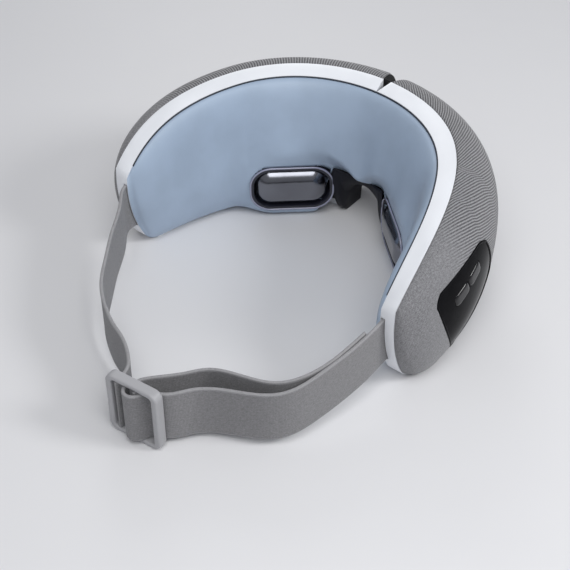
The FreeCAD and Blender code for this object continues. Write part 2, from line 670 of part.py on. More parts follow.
def slider_xy(x, y):
    """Slider axes: x from its left bar along the frame, y toward the wearer."""
    a = math.radians(SLIDER_TURN)
    return x * math.cos(a) - y * math.sin(a), SLIDER_Y + x * math.sin(a) + y * math.cos(a)


def run(points):
    curve = Part.BSplineCurve()
    curve.interpolate([V(x, y, 0) for x, y in points])
    return curve


def ribbon(curve, count, side=0.0, start=0.0, stop=1.0):
    """Upright webbing along a plan curve, side mm to the left of it."""
    wires = []
    length = curve.length()
    for k in range(count + 1):
        u = curve.parameterAtDistance(length * (start + (stop - start) * k / count), curve.FirstParameter)
        p = curve.value(u)
        t = curve.tangent(u)[0]
        n = V(-t.y, t.x, 0)
        z = strap_mid(p.y) - STRAP_W / 2
        a = p + n * (side - STRAP_T / 2)
        b = p + n * (side + STRAP_T / 2)
        corners = [V(a.x, a.y, z), V(b.x, b.y, z), V(b.x, b.y, z + STRAP_W), V(a.x, a.y, z + STRAP_W)]
        wires.append(Part.makePolygon(corners + corners[:1]))
    return Part.makeLoft(wires, True, False)


def route(shares, side):
    return [(side * x * STRAP_X, STRAP_Y - y * STRAP_BACK) for x, y in shares]


def turn_round(x, r, first, last, step):
    """Points on a turn of radius r about one bar of the slider, between two angles."""
    angles = [math.radians(a) for a in range(first, last + step // abs(step), step)]
    return [slider_xy(x + r * math.cos(a), r * math.sin(a)) for a in angles]


def strap_end(side):
    return upright(side * STRAP_X, STRAP_Y, STRAP_T / 2, tab_z0, tab_z1)


left_run = run(route(LEFT_ROUTE, -1) + turn_round(0.0, HOOK_R, 135, -15, -30))
nodes["strap_left"] = ribbon(left_run, 40).fuse(strap_end(-1))

centre_x = (SLIDER_W - SLIDER_BAR) / 2
right_run = run([slider_xy(centre_x + x, y) for x, y in WRAP] + route(OUTER_ROUTE, 1))
nodes["strap_outer"] = ribbon(right_run, 40).fuse(strap_end(1))

joined = []
length = right_run.length()
for part_way in JOIN_SHARES:
    u = right_run.parameterAtDistance(length * part_way, right_run.FirstParameter)
    p = right_run.value(u)
    t = right_run.tangent(u)[0]
    joined.append((p.x - t.y * STRAP_PLY, p.y + t.x * STRAP_PLY))
inner_run = run(turn_round(centre_x, LOOP_R, -60, 90, 30) + route(INNER_ROUTE, 1) + joined)
nodes["strap_inner"] = ribbon(inner_run, 40)

# Slider: a deep rounded ring with a slimmer bar down its middle.
half_bar = SLIDER_BAR / 2
half_deep = SLIDER_DEEP / 2
slider = Part.makeBox(SLIDER_W, SLIDER_DEEP, SLIDER_H, V(-half_bar, -half_deep, 0))
corners = [e for e in slider.Edges if abs(e.tangentAt(e.FirstParameter).y) > 0.9]
slider = slider.makeFillet(SLIDER_CORNER, corners)
open_h = SLIDER_H - 2 * SLIDER_RAIL
window = tablet(SLIDER_W - 2 * SLIDER_BAR, open_h, 2 * SLIDER_DEEP, SLIDER_WINDOW, -SLIDER_DEEP)
window.translate(V(centre_x, 0, SLIDER_H / 2))
slider = slider.cut(window)
rims = [e for e in slider.Edges if abs(abs(e.CenterOfMass.y) - half_deep) < 0.01]
slider = slider.makeFillet(SLIDER_SOFT, rims)
middle_h = open_h + SLIDER_RAIL
middle = Part.makeBox(SLIDER_BAR, SLIDER_BAR, middle_h, V(centre_x - half_bar, -half_bar, SLIDER_RAIL / 2))
uprights = [e for e in middle.Edges if abs(e.tangentAt(e.FirstParameter).z) > 0.9]
slider = slider.fuse(middle.makeFillet(SLIDER_SOFT, uprights)).removeSplitter()
slider.rotate(V(0, 0, 0), UP, SLIDER_TURN)
slider.translate(V(0, SLIDER_Y, 0))
nodes["slider"] = slider

# Origin: middle of the overall length on the mid-plane, at the level of the base.
box = Part.makeCompound(list(nodes.values())).optimalBoundingBox(False)
shift = V(0, -(box.YMin + box.YMax) / 2, 0)
os.makedirs("parts", exist_ok=True)
for name, shape in nodes.items():
    out = shape.copy()
    out.translate(shift)
    out.exportStep("parts/" + name + ".step")
    print(name, len(out.Solids), round(out.Volume, 1), out.isValid())
print("origin shift", round(shift.y, 4))
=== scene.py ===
"""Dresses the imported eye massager: leather cushion, knit covers, webbing strap, heads and finishes."""

import json
import math

import bmesh
import bpy
import numpy as np
from mathutils import Matrix, Vector


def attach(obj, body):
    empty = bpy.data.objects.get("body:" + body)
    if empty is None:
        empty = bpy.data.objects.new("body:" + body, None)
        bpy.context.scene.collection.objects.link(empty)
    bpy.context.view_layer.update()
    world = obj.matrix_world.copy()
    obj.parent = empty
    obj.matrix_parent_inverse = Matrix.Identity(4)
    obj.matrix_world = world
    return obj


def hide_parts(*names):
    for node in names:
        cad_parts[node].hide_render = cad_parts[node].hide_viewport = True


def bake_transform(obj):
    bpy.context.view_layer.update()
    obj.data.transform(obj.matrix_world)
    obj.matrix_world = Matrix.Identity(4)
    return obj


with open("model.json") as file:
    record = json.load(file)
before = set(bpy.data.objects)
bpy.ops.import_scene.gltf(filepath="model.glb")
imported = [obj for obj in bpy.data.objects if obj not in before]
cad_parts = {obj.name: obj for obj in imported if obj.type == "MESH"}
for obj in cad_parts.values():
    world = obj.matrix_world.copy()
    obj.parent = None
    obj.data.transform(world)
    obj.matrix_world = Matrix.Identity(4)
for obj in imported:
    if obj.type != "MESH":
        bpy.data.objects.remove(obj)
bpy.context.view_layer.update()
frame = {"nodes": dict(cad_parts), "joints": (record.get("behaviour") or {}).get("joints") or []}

bl_info = {
    "name": "Eye massager",
    "version": (1, 0, 0),
    "blender": (4, 5, 0),
    "location": "View3D > Sidebar > Massager",
    "description": "Builds the soft goods and finishes of a folding eye massager round its CAD frame",
    "category": "Object",
}

MM = 0.001
SIDES = (("right", 1.0), ("left", -1.0))
FULL_TURN = 2 * math.pi
MERGE = 1e-7

# Rim in plan, in millimetres: a brow arc about the mid-plane, then a flatter temple arc.
HINGE_Y = -1.0
FRONT_R = 68.0
TEMPLE_OUT = 8.5
TEMPLE_RUN = 33.3
TEMPLE_X = FRONT_R + TEMPLE_OUT
TEMPLE_Y = FRONT_R + TEMPLE_RUN
ARC_SHIFT = (TEMPLE_RUN ** 2 + TEMPLE_OUT ** 2) / (2 * TEMPLE_OUT)
SIDE_R = FRONT_R + ARC_SHIFT
SIDE_X = TEMPLE_X - SIDE_R
BLEND = math.degrees(math.asin(-SIDE_X / ARC_SHIFT))
# Rim height, temple bow, nose arch and notch.
TOP_Z = 77.7
TOP_FALL = 14.0
CORNER_FALL = 15.9
REAR_R = 75.0
REAR_Z = 42.0
LOBE_R = 14.0
ARCH_R = 13.0
ARCH_TOP = 22.5
ARCH_FOOT = 2.5
NOTCH_HALF = 13.0
# Band, covers and cushion.
TRIM_W = 9.1
TRIM_TAPER = 1.6
TRIM_RISE = 1.8
BULGE = 23.2
BULGE_END = 6.0
FULLNESS = 2.3
BOTTOM_SINK = 1.5
SEAM = 0.1
EDGE = 0.8
NOSE_TOP = 27.5
NOSE_DIP = 2.0
NOSE_HALF = 14.0
NOSE_DROP = (15.0, 24.0)
NOSE_SHARE = 0.82
# Massage head and its tray.
HEAD_PHI = 37.5
HEAD_IN = 18.2
HEAD_Z = 18.5
HEAD_TURN = 42.0
HEAD_W = 39.0
HEAD_H = 22.0
HEAD_T = 7.5
SHOULDER = 8.5
SHOULDER_ROLL = 2.2
HEAD_CORNER = 8.8
TRAY_W = 44.0
TRAY_H = 27.0
TRAY_CORNER = 11.5
TRAY_STEP = 2.0
# Control panel: tips of its leaf along y and z from the middle of the keys.
KEYS_PHI = 75.5
KEYS_Z = 45.5
KEYS_TURN = 84.0
KEYS_TILT = 5.0
KEYS_SLANT = 20.0
KEY_W = 11.0
KEY_H = 7.0
KEY_CORNER = 2.0
KEY_PITCH = 11.9
LEAF_TIPS = ((16.5, 14.0), (-24.5, 5.5), (-2.5, -41.0), (31.5, -18.0))
LEAF_SAG = 2.0
LEAF_CORNER = 4.0
LEAF_STEPS = 12
# Ribs of the knit: lean from square to the band in degrees, the row on which they are evenly spaced as a
# share of the way down, their width, and where they fade, ahead of the middle in metres.
RIB_LEAN = {"right": 62.0, "left": 6.0}
RIB_ROW = {"right": 0.33, "left": 0.08}
RIB_GAUGE = {"right": 1.0, "left": 1.18}
RIB_FADE = (0.006, 0.03)
# Strap and slider.
STRAP_X = TEMPLE_X + 1.4
STRAP_Y = -TEMPLE_Y - 0.3
STRAP_BACK = 90.9
STRAP_LOW = 0.775
STRAP_TEMPLE_Z = 28.9
STRAP_PLY = 1.45
SLIDER_TURN = 5.0
SLIDER_Y = STRAP_Y - STRAP_BACK
SLIDER_MID_X = 12.4
SLIDER_MID_Z = 16.8
HOOK_R = 4.6
LOOP_R = 2.9
WRAP = ((-3.7, 0.4), (-3.5, -2.3), (-2.2, -4.5), (0.0, -5.3), (2.6, -4.6),
        (4.6, -2.4), (6.3, 0.6), (9.3, 2.6), (13.3, 4.4))
LEFT_ROUTE = ((1.0, 0.0), (0.93, 0.1), (0.8, 0.285), (0.685, 0.435), (0.59, 0.55), (0.49, 0.63),
              (0.39, 0.687), (0.29, 0.732), (0.2, 0.762), (0.11, 0.803), (0.035, 0.852), (-0.02, 0.905))
OUTER_ROUTE = ((0.424, 0.818), (0.652, 0.7), (0.837, 0.598), (0.93, 0.406), (1.0, 0.0))
INNER_ROUTE = ((0.244, 0.825), (0.41, 0.673), (0.583, 0.622), (0.763, 0.565))

fold_joint = next(j for j in frame["joints"] if j["name"] == "fold")
SHIFT_Y = fold_joint["pos_m"][1] / MM - HINGE_Y


# Plan and section of the mask

def metres(x, y, z):
    return Vector((x, y + SHIFT_Y, z)) * MM


def smooth(a, b, x):
    t = min(1.0, max(0.0, (x - a) / (b - a)))
    return t * t * (3 - 2 * t)


def rim(phi, d):
    """Plan point at angle phi, d outside the band's inner edge."""
    a = math.radians(phi)
    if phi <= BLEND:
        return (FRONT_R + d) * math.sin(a), -FRONT_R + (FRONT_R + d) * math.cos(a)
    return SIDE_X + (SIDE_R + d) * math.sin(a), -TEMPLE_Y + (SIDE_R + d) * math.cos(a)


def on_rim(side, phi, d, z):
    x, y = rim(phi, d)
    return metres(side * x, y, z)


def rim_top(phi):
    t = -rim(phi, 0.0)[1] / TEMPLE_Y
    return TOP_Z - TOP_FALL * t ** 2 - CORNER_FALL * t ** 6


def trim_width(phi):
    return TRIM_W - TRIM_TAPER * (phi / 90) ** 2


def bulge(phi):
    return BULGE - (BULGE - BULGE_END) * (phi / 90) ** 6


def section(v):
    """Height from 1 to -1 down one section, closer spaced at its edges."""
    a = math.pi * (0.5 - v)
    return math.copysign(abs(math.sin(a)) ** (2 / FULLNESS), math.sin(a))


def fullness(height):
    """Crowned section: 0 at heights 1 and -1, 1 between."""
    return max(0.0, 1 - abs(height) ** FULLNESS) ** (1 / FULLNESS)


def crown(share):
    """Rounded roll from an edge: 0 at the edge, 1 once share reaches 1."""
    t = min(1.0, max(0.0, share))
    return (1 - (1 - t) ** FULLNESS) ** (1 / FULLNESS)


def end_angle(z):
    """Plan angle at which the bowed temple end stands at height z."""
    mid_y = REAR_R - TEMPLE_Y
    lobe_y = mid_y - math.sqrt((REAR_R - LOBE_R) ** 2 - (REAR_Z - LOBE_R) ** 2)
    meet_z = REAR_Z - (REAR_Z - LOBE_R) * REAR_R / (REAR_R - LOBE_R)
    if z > meet_z:
        y = mid_y - math.sqrt(REAR_R ** 2 - (z - REAR_Z) ** 2)
    else:
        y = lobe_y - math.sqrt(max(0.0, LOBE_R ** 2 - (z - LOBE_R) ** 2))
    return math.degrees(math.acos((TEMPLE_Y + y) / SIDE_R))


def notch_angle(d):
    """Plan angle of the notch face at distance d outside the band's inner edge."""
    reach = (FRONT_R + HINGE_Y) * math.sin(math.radians(NOTCH_HALF)) / (FRONT_R + d)
    return NOTCH_HALF - math.degrees(math.asin(min(1.0, reach)))


def arch_low(x, relief, foot):
    """Lower edge over the nose arch, falling to the foot beside it."""
    r = ARCH_R + relief
    spring = ARCH_TOP - ARCH_R
    if abs(x) < r:
        return spring + math.sqrt(r * r - x * x)
    return foot + (spring - foot) * (1 - smooth(r, r + ARCH_FOOT, abs(x)))


def nose_low(phi):
    """Lower edge of the cushion: level over the nose, then down to the foot behind the trays."""
    x = NOSE_SHARE * FRONT_R * math.sin(math.radians(min(phi, 90.0)))
    over = NOSE_TOP + NOSE_DIP * min(1.0, x / NOSE_HALF) ** 2
    return over + (EDGE - over) * smooth(*NOSE_DROP, x)


def rim_length(phi):
    low = math.radians(min(phi, BLEND)) * FRONT_R
    return low + math.radians(max(0.0, phi - BLEND)) * SIDE_R


RIM_LENGTH = rim_length(90.0)


# Meshes

def grid_object(name, us, vs, place, uv=None, wrap=False, cap=False):
    """A grid of len(us) by len(vs) points put in place by place(u, v); wrap joins its first and last v."""
    bm = bmesh.new()
    cols = len(us) - 1
    rows = len(vs) - 1
    bmesh.ops.create_grid(bm, x_segments=cols, y_segments=rows, size=1.0)
    layer = bm.loops.layers.uv.new("UVMap")
    where = {}
    for vert in bm.verts:
        i = round((vert.co.x + 1) / 2 * cols)
        j = round((vert.co.y + 1) / 2 * rows)
        where[vert] = (i, j)
    for vert, (i, j) in where.items():
        vert.co = place(us[i], vs[j])
    if uv is not None:
        for face in bm.faces:
            for loop in face.loops:
                loop[layer].uv = uv(*where[loop.vert])
    if wrap:
        bmesh.ops.remove_doubles(bm, verts=bm.verts, dist=MERGE)
    if cap:
        bmesh.ops.holes_fill(bm, edges=[e for e in bm.edges if e.is_boundary], sides=0)
    bmesh.ops.recalc_face_normals(bm, faces=bm.faces)
    return piece(name, bm)


def piece(name, bm):
    mesh = bpy.data.meshes.new(name)
    bm.to_mesh(mesh)
    bm.free()
    mesh.shade_smooth()
    obj = bpy.data.objects.new(name, mesh)
    bpy.context.scene.collection.objects.link(obj)
    return obj


def dress(obj, material, body=None, nodes=()):
    obj.data.materials.clear()
    obj.data.materials.append(material)
    if body:
        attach(obj, body)
    if nodes:
        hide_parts(*nodes)
    return obj


def paint(node, material):
    """Give a CAD node its finish and leave its shape alone."""
    obj = frame["nodes"][node]
    obj.data.materials.clear()
    obj.data.materials.append(material)
    for poly in obj.data.polygons:
        poly.material_index = 0


def soften(node, width, weld_gap=2e-6, steps=3, sharp=math.radians(40)):
    """Break a CAD node's sharp edges, without touching its mesh."""
    obj = frame["nodes"][node]
    weld = obj.modifiers.new("weld", "WELD")
    weld.merge_threshold = weld_gap
    bevel = obj.modifiers.new("round", "BEVEL")
    bevel.width = width
    bevel.segments = steps
    bevel.limit_method = "ANGLE"
    bevel.angle_limit = sharp


def thicken(obj, thickness):
    """Give a sheet its wall, on the side away from its face."""
    solid = obj.modifiers.new("wall", "SOLIDIFY")
    solid.thickness = thickness
    solid.offset = -1.0


def span_fold(obj, half):
    """Bake a piece's transform in place; points half to each side of the hinge axis are worked out, but
    nothing bends the piece across the fold.
    """
    start = metres(half, HINGE_Y, 0.0)
    end = metres(-half, HINGE_Y, 0.0)
    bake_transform(obj)


# Shader maths

class Value:
    """A shader socket that takes part in arithmetic."""

    def __init__(self, finish, socket):
        self.finish = finish
        self.socket = socket

    def maths(self, operation, *terms):
        return self.finish.node("ShaderNodeMath", {"operation": operation}, dict(enumerate(terms)))

    def __add__(self, other):
        return self.maths("ADD", self, other)

    def __radd__(self, other):
        return self.maths("ADD", other, self)

    def __sub__(self, other):
        return self.maths("SUBTRACT", self, other)

    def __rsub__(self, other):
        return self.maths("SUBTRACT", other, self)

    def __mul__(self, other):
        return self.maths("MULTIPLY", self, other)

    def __rmul__(self, other):
        return self.maths("MULTIPLY", other, self)

    def __truediv__(self, other):
        return self.maths("DIVIDE", self, other)

    def __pow__(self, other):
        return self.maths("POWER", self, other)

    def wave(self, pitch):
        """0 to 1 and back over each pitch."""
        return 0.5 + 0.5 * (self * (FULL_TURN / pitch)).maths_one("COSINE")

    def maths_one(self, operation):
        return self.maths(operation, self)

    def ramp(self, low, high):
        """0 below low, 1 above high, eased between."""
        settings = {"interpolation_type": "SMOOTHSTEP"}
        return self.finish.node("ShaderNodeMapRange", settings, {0: self, 1: low, 2: high})


def pick(sockets, key):
    if isinstance(key, int):
        return sockets[key]
    return next(s for s in sockets if key in (s.identifier, s.name) and s.enabled)


class Finish:
    """One material in the making: its node tree, its main shader and what feeds it."""

    def __init__(self, name, **constants):
        self.material = bpy.data.materials.new(name)
        self.material.use_nodes = True
        self.tree = self.material.node_tree
        self.tree.nodes.clear()
        self.shader = self.tree.nodes.new("ShaderNodeBsdfPrincipled")
        output = self.tree.nodes.new("ShaderNodeOutputMaterial")
        self.tree.links.new(self.shader.outputs[0], output.inputs["Surface"])
        for key, value in constants.items():
            label = key.replace("_", " ").title().replace("Ior", "IOR")
            self.shader.inputs[label].default_value = value
        self.at = self.node("ShaderNodeTexCoord", {}, {}, "Object")

    def node(self, kind, settings, inputs, output=0):
        made = self.tree.nodes.new(kind)
        for key, value in settings.items():
            setattr(made, key, value)
        for key, value in inputs.items():
            self.feed(pick(made.inputs, key), value)
        return Value(self, pick(made.outputs, output))

    def feed(self, socket, value):
        if isinstance(value, Value):
            self.tree.links.new(value.socket, socket)
        else:
            socket.default_value = value

    def across(self):
        """The piece's own UV map and its two parts, in millimetres."""
        uv = self.node("ShaderNodeUVMap", {"uv_map": "UVMap"}, {})
        split = self.node("ShaderNodeSeparateXYZ", {}, {0: uv})
        return uv, split, Value(self, split.socket.node.outputs[1])

    def noise(self, scale, detail=3.0, vector=None):
        inputs = {"Vector": vector or self.at, "Scale": scale, "Detail": detail}
        return self.node("ShaderNodeTexNoise", {}, inputs)

    def streaks(self, vector, scales, detail=4.0):
        """Noise with a scale of its own along each axis."""
        drawn = self.node("ShaderNodeVectorMath", {"operation": "MULTIPLY"}, {0: vector, 1: scales})
        return self.noise(1.0, detail, drawn)

    def blend(self, share, one, other):
        settings = {"data_type": "RGBA"}
        inputs = {"Factor_Float": share, "A_Color": one, "B_Color": other}
        return self.node("ShaderNodeMix", settings, inputs, "Result_Color")

    def tint(self, share, colour, low, high):
        """Base colour between a low and a high shade of one colour."""
        self.set("Base Color", self.blend(share, shade(colour, low), shade(colour, high)))

    def bump(self, height, distance, strength):
        inputs = {"Height": height, "Distance": distance, "Strength": strength}
        self.set("Normal", self.node("ShaderNodeBump", {}, inputs))

    def set(self, name, value):
        self.feed(self.shader.inputs[name], value)


def shade(colour, factor):
    return tuple(min(1.0, c * factor) for c in colour) + (1.0,)


# Finishes

CLOUD = (0.3, 0.7)


def leather(colour):
    """Smooth coated leather: fine pores, soft clouding."""
    f = Finish("slate_leather", sheen_weight=0.08, sheen_roughness=0.4, specular_ior_level=0.42)
    cloud = f.noise(45.0)
    pores = f.node("ShaderNodeTexVoronoi", {"feature": "SMOOTH_F1"}, {"Vector": f.at, "Scale": 1500.0})
    crease = f.noise(650.0, 5.0)
    f.tint(cloud.ramp(*CLOUD), colour, 0.95, 1.05)
    f.set("Roughness", 0.36 + 0.16 * crease)
    f.bump(pores * 0.6 + crease * 0.8, distance=0.00006, strength=0.35)
    return f.material


def satin(name, colour, rough=0.34, grain=900.0, depth=0.00002, mottle=0.035, **constants):
    """Moulded plastic: an even colour with a fine spark-eroded grain."""
    f = Finish(name, **constants)
    fine = f.noise(grain, 4.0)
    broad = f.noise(30.0)
    f.tint(broad.ramp(*CLOUD), colour, 1 - mottle, 1 + mottle)
    f.set("Roughness", (rough - 0.05) + 0.1 * fine)
    f.bump(fine, distance=depth, strength=0.4)
    return f.material


def gloss(name, colour, shine):
    """Polished black moulding with a faint haze."""
    f = Finish(name, specular_ior_level=shine)
    haze = f.noise(180.0, 5.0)
    f.tint(haze.ramp(0.4, 0.8), colour, 0.9, 1.3)
    f.set("Roughness", 0.07 + 0.06 * haze)
    return f.material


def gunmetal(colour):
    """Satin dark chrome with a faint drawn grain along its length."""
    f = Finish("gunmetal", metallic=1.0)
    drawn = f.streaks(f.at, (300.0, 300.0, 4000.0), 3.0)
    cloud = f.noise(70.0)
    f.tint(cloud.ramp(*CLOUD), colour, 0.93, 1.05)
    f.set("Roughness", 0.15 + 0.08 * drawn)
    f.bump(drawn, distance=0.000006, strength=0.3)
    return f.material


def metal(name, colour, rough):
    f = Finish(name, metallic=1.0)
    scratch = f.streaks(f.at, (400.0, 3000.0, 400.0))
    f.tint(scratch.ramp(*CLOUD), colour, 0.9, 1.06)
    f.set("Roughness", rough + 0.12 * scratch)
    return f.material


def knit(light, dark, pitch):
    """Heathered rib knit: round wales that fade to plain heather at the temples, stray lighter yarns. The
    grooves between wales are coloured darker than their ridges, a painted shade of the grooves.
    """
    f = Finish("heather_knit", sheen_weight=0.25, sheen_roughness=0.5, specular_ior_level=0.25)
    uv, over, along = f.across()
    ahead = f.node("ShaderNodeSeparateXYZ", {}, {0: f.at}, 1)
    ribbed = ahead.ramp(*RIB_FADE)
    sway = f.noise(120.0)
    plain = 0.55
    rib = plain + ((over + 0.5 * sway).wave(pitch) - plain) * ribbed
    lean = ((over + 0.5 * sway) / pitch).maths_one("FRACT")
    slant = (lean - 0.5).maths_one("ABSOLUTE")
    stitch = (along + slant * pitch).wave(pitch * 0.72)
    yarn = f.streaks(uv, (1.6, 0.55, 1.0))
    fleck = f.noise(1700.0, 2.0)
    height = rib ** 0.8 * (0.72 + 0.28 * stitch)
    # Tone follows the rib height, so the dark colour also paints the shade in the grooves between wales,
    # besides the heather's dark yarn.
    tone = 0.62 * height + 0.35 * (yarn - 0.5) + 0.6 * (fleck - 0.5) + 0.14
    f.set("Base Color", f.blend(tone.ramp(0.0, 0.95), shade(dark, 1.0), shade(light, 1.0)))
    f.set("Roughness", 0.86 + 0.1 * fleck)
    f.bump(height + 0.3 * fleck, distance=0.00035, strength=0.9)
    return f.material


def webbing(colour, warp_pitch=0.8, pick_pitch=0.62, selvage=(12.6, 13.6)):
    """Woven elastic: fine warp ribs crossed by picks, a paler selvage; lengths in millimetres."""
    f = Finish("heather_webbing", sheen_weight=0.2, sheen_roughness=0.5, specular_ior_level=0.25)
    uv, along, across = f.across()
    warp = across.wave(warp_pitch)
    pick_wave = (along + 0.25 * warp).wave(pick_pitch)
    fleck = f.noise(1500.0)
    yarn = f.streaks(uv, (0.5, 2.2, 1.0))
    edge = across.maths_one("ABSOLUTE").ramp(*selvage)
    height = 0.55 * warp + 0.45 * pick_wave
    tone = 0.3 * height + 0.55 * (yarn - 0.5) + 0.55 * (fleck - 0.5) + 0.34 + 0.35 * edge
    f.tint(tone.ramp(0.0, 1.0), colour, 0.6, 1.6)
    f.set("Roughness", 0.82 + 0.1 * fleck)
    f.bump(height + 0.3 * fleck, distance=0.0002, strength=0.8)
    return f.material


def gusset_cloth(colour, rib_pitch=0.9):
    """Charcoal stretch cloth across the fold, with fine ribs."""
    f = Finish("charcoal_stretch", sheen_weight=0.04, specular_ior_level=0.2)
    along = f.across()[2]
    rib = along.wave(rib_pitch)
    fleck = f.noise(1600.0)
    f.tint(rib * 0.6 + fleck * 0.4, colour, 0.6, 1.6)
    f.set("Roughness", 0.8 + 0.15 * fleck)
    f.bump(rib + 0.4 * fleck, distance=0.0002, strength=0.8)
    return f.material


def board(colour):
    """Circuit board: green mask with pale tracks."""
    f = Finish("circuit_board", specular_ior_level=0.5)
    tracks = f.node("ShaderNodeTexBrick", {}, {"Vector": f.at, "Scale": 400.0, "Mortar Size": 0.03}, "Fac")
    f.tint(tracks, colour, 1.0, 2.2)
    f.set("Roughness", 0.35 + 0.2 * tracks)
    return f.material


# Sizes, colours and studio

def size_property(name, description, default):
    return bpy.props.FloatProperty(name=name, description=description, default=default,
                                   min=0.0, unit="LENGTH")


def colour_property(name, description, default):
    return bpy.props.FloatVectorProperty(name=name, description=description, default=default,
                                         subtype="COLOR", size=3, min=0.0, max=1.0)


class MassagerSizes(bpy.types.PropertyGroup):
    """Sizes of the soft goods."""

    cushion_brow: size_property("Cushion at the brow", "Pad thickness over the nose and brow", 0.009)
    cushion_temple: size_property("Cushion at the temple", "Pad thickness at the temples", 0.0072)
    cushion_cheek: size_property("Cushion cheek", "Extra fullness low on each cheek", 0.0028)
    knit_pitch: size_property("Knit pitch", "Distance from one wale to the next", 0.0012)
    webbing_width: size_property("Webbing width", "Strap width", 0.028)
    webbing_thickness: size_property("Webbing thickness", "Strap thickness", 0.0014)
    head_dome: size_property("Head dome", "Rise of a massage head over its edge", 0.0046)
    edge_round: size_property("Edge round", "Radius on moulded edges", 0.0007)


class MassagerColours(bpy.types.PropertyGroup):
    """Colours of the finishes, scene linear."""

    leather: colour_property("Leather", "Cushion skin", (0.345, 0.43, 0.55))
    band: colour_property("Band", "Rim band plastic", (0.80, 0.82, 0.86))
    knit_light: colour_property("Knit light", "Pale yarn of the covers", (0.36, 0.36, 0.375))
    # Knit dark is both the dark yarn of the heather and the painted shade in the grooves between wales.
    knit_dark: colour_property("Knit dark", "Dark yarn of the covers", (0.05, 0.05, 0.055))
    webbing: colour_property("Webbing", "Strap", (0.20, 0.198, 0.205))
    slider: colour_property("Slider", "Slider plastic", (0.36, 0.36, 0.375))
    panel: colour_property("Panel", "Control panel and keys", (0.006, 0.006, 0.007))
    heads: colour_property("Heads", "Massage heads", (0.21, 0.215, 0.24))
    trays: colour_property("Trays", "Head trays", (0.018, 0.019, 0.03))
    # Pale lilac of the lip ring: painted highlight on the edge of each tray.
    lip_highlight: colour_property("Lip", "Edge round each head", (0.27, 0.28, 0.38))
    # Dark bead in the crease between band and cushion: painted shade of the crease.
    shade_bead: colour_property("Seal", "Bead between band and cushion", (0.02, 0.026, 0.04))
    gusset: colour_property("Gusset", "Cloth across the fold", (0.014, 0.014, 0.015))


class StudioSettings(bpy.types.PropertyGroup):
    """Camera and light of the picture."""

    azimuth: bpy.props.FloatProperty(name="Azimuth", description="Camera round the object",
                                     default=math.radians(38.63), subtype="ANGLE")
    elevation: bpy.props.FloatProperty(name="Elevation", description="Camera above the floor",
                                       default=math.radians(41.33), subtype="ANGLE")
    distance: size_property("Distance", "Camera to target", 0.65)
    target_back: size_property("Target back", "Target behind the hinge axis", 0.07183)
    lens: bpy.props.FloatProperty(name="Lens", description="Focal length", default=82.16, unit="CAMERA")
    floor: colour_property("Floor", "Floor colour", (0.72, 0.72, 0.735))


# Pieces

def sizes():
    return bpy.context.scene.massager_sizes


def colours():
    return bpy.context.scene.massager_colours


def head_place(side):
    """What puts a point of one side's head in place, back behind the middle of its face."""
    x, y = rim(HEAD_PHI, -HEAD_IN)
    a = math.radians(HEAD_TURN)
    middle = metres(side * x, y, HEAD_Z)
    wide = Vector((side * math.cos(a), -math.sin(a), 0.0))
    deep = Vector((side * math.sin(a), math.cos(a), 0.0))

    def place(at, back):
        return middle + (wide * at.x + deep * back + Vector((0.0, 0.0, at.y))) * MM

    return place


def box_distance(x, z, half_w, half_h, corner):
    """Distance outside a rounded rectangle, negative inside it."""
    qx = abs(x) - half_w + corner
    qz = abs(z) - half_h + corner
    return math.hypot(max(qx, 0.0), max(qz, 0.0)) + min(max(qx, qz), 0.0) - corner


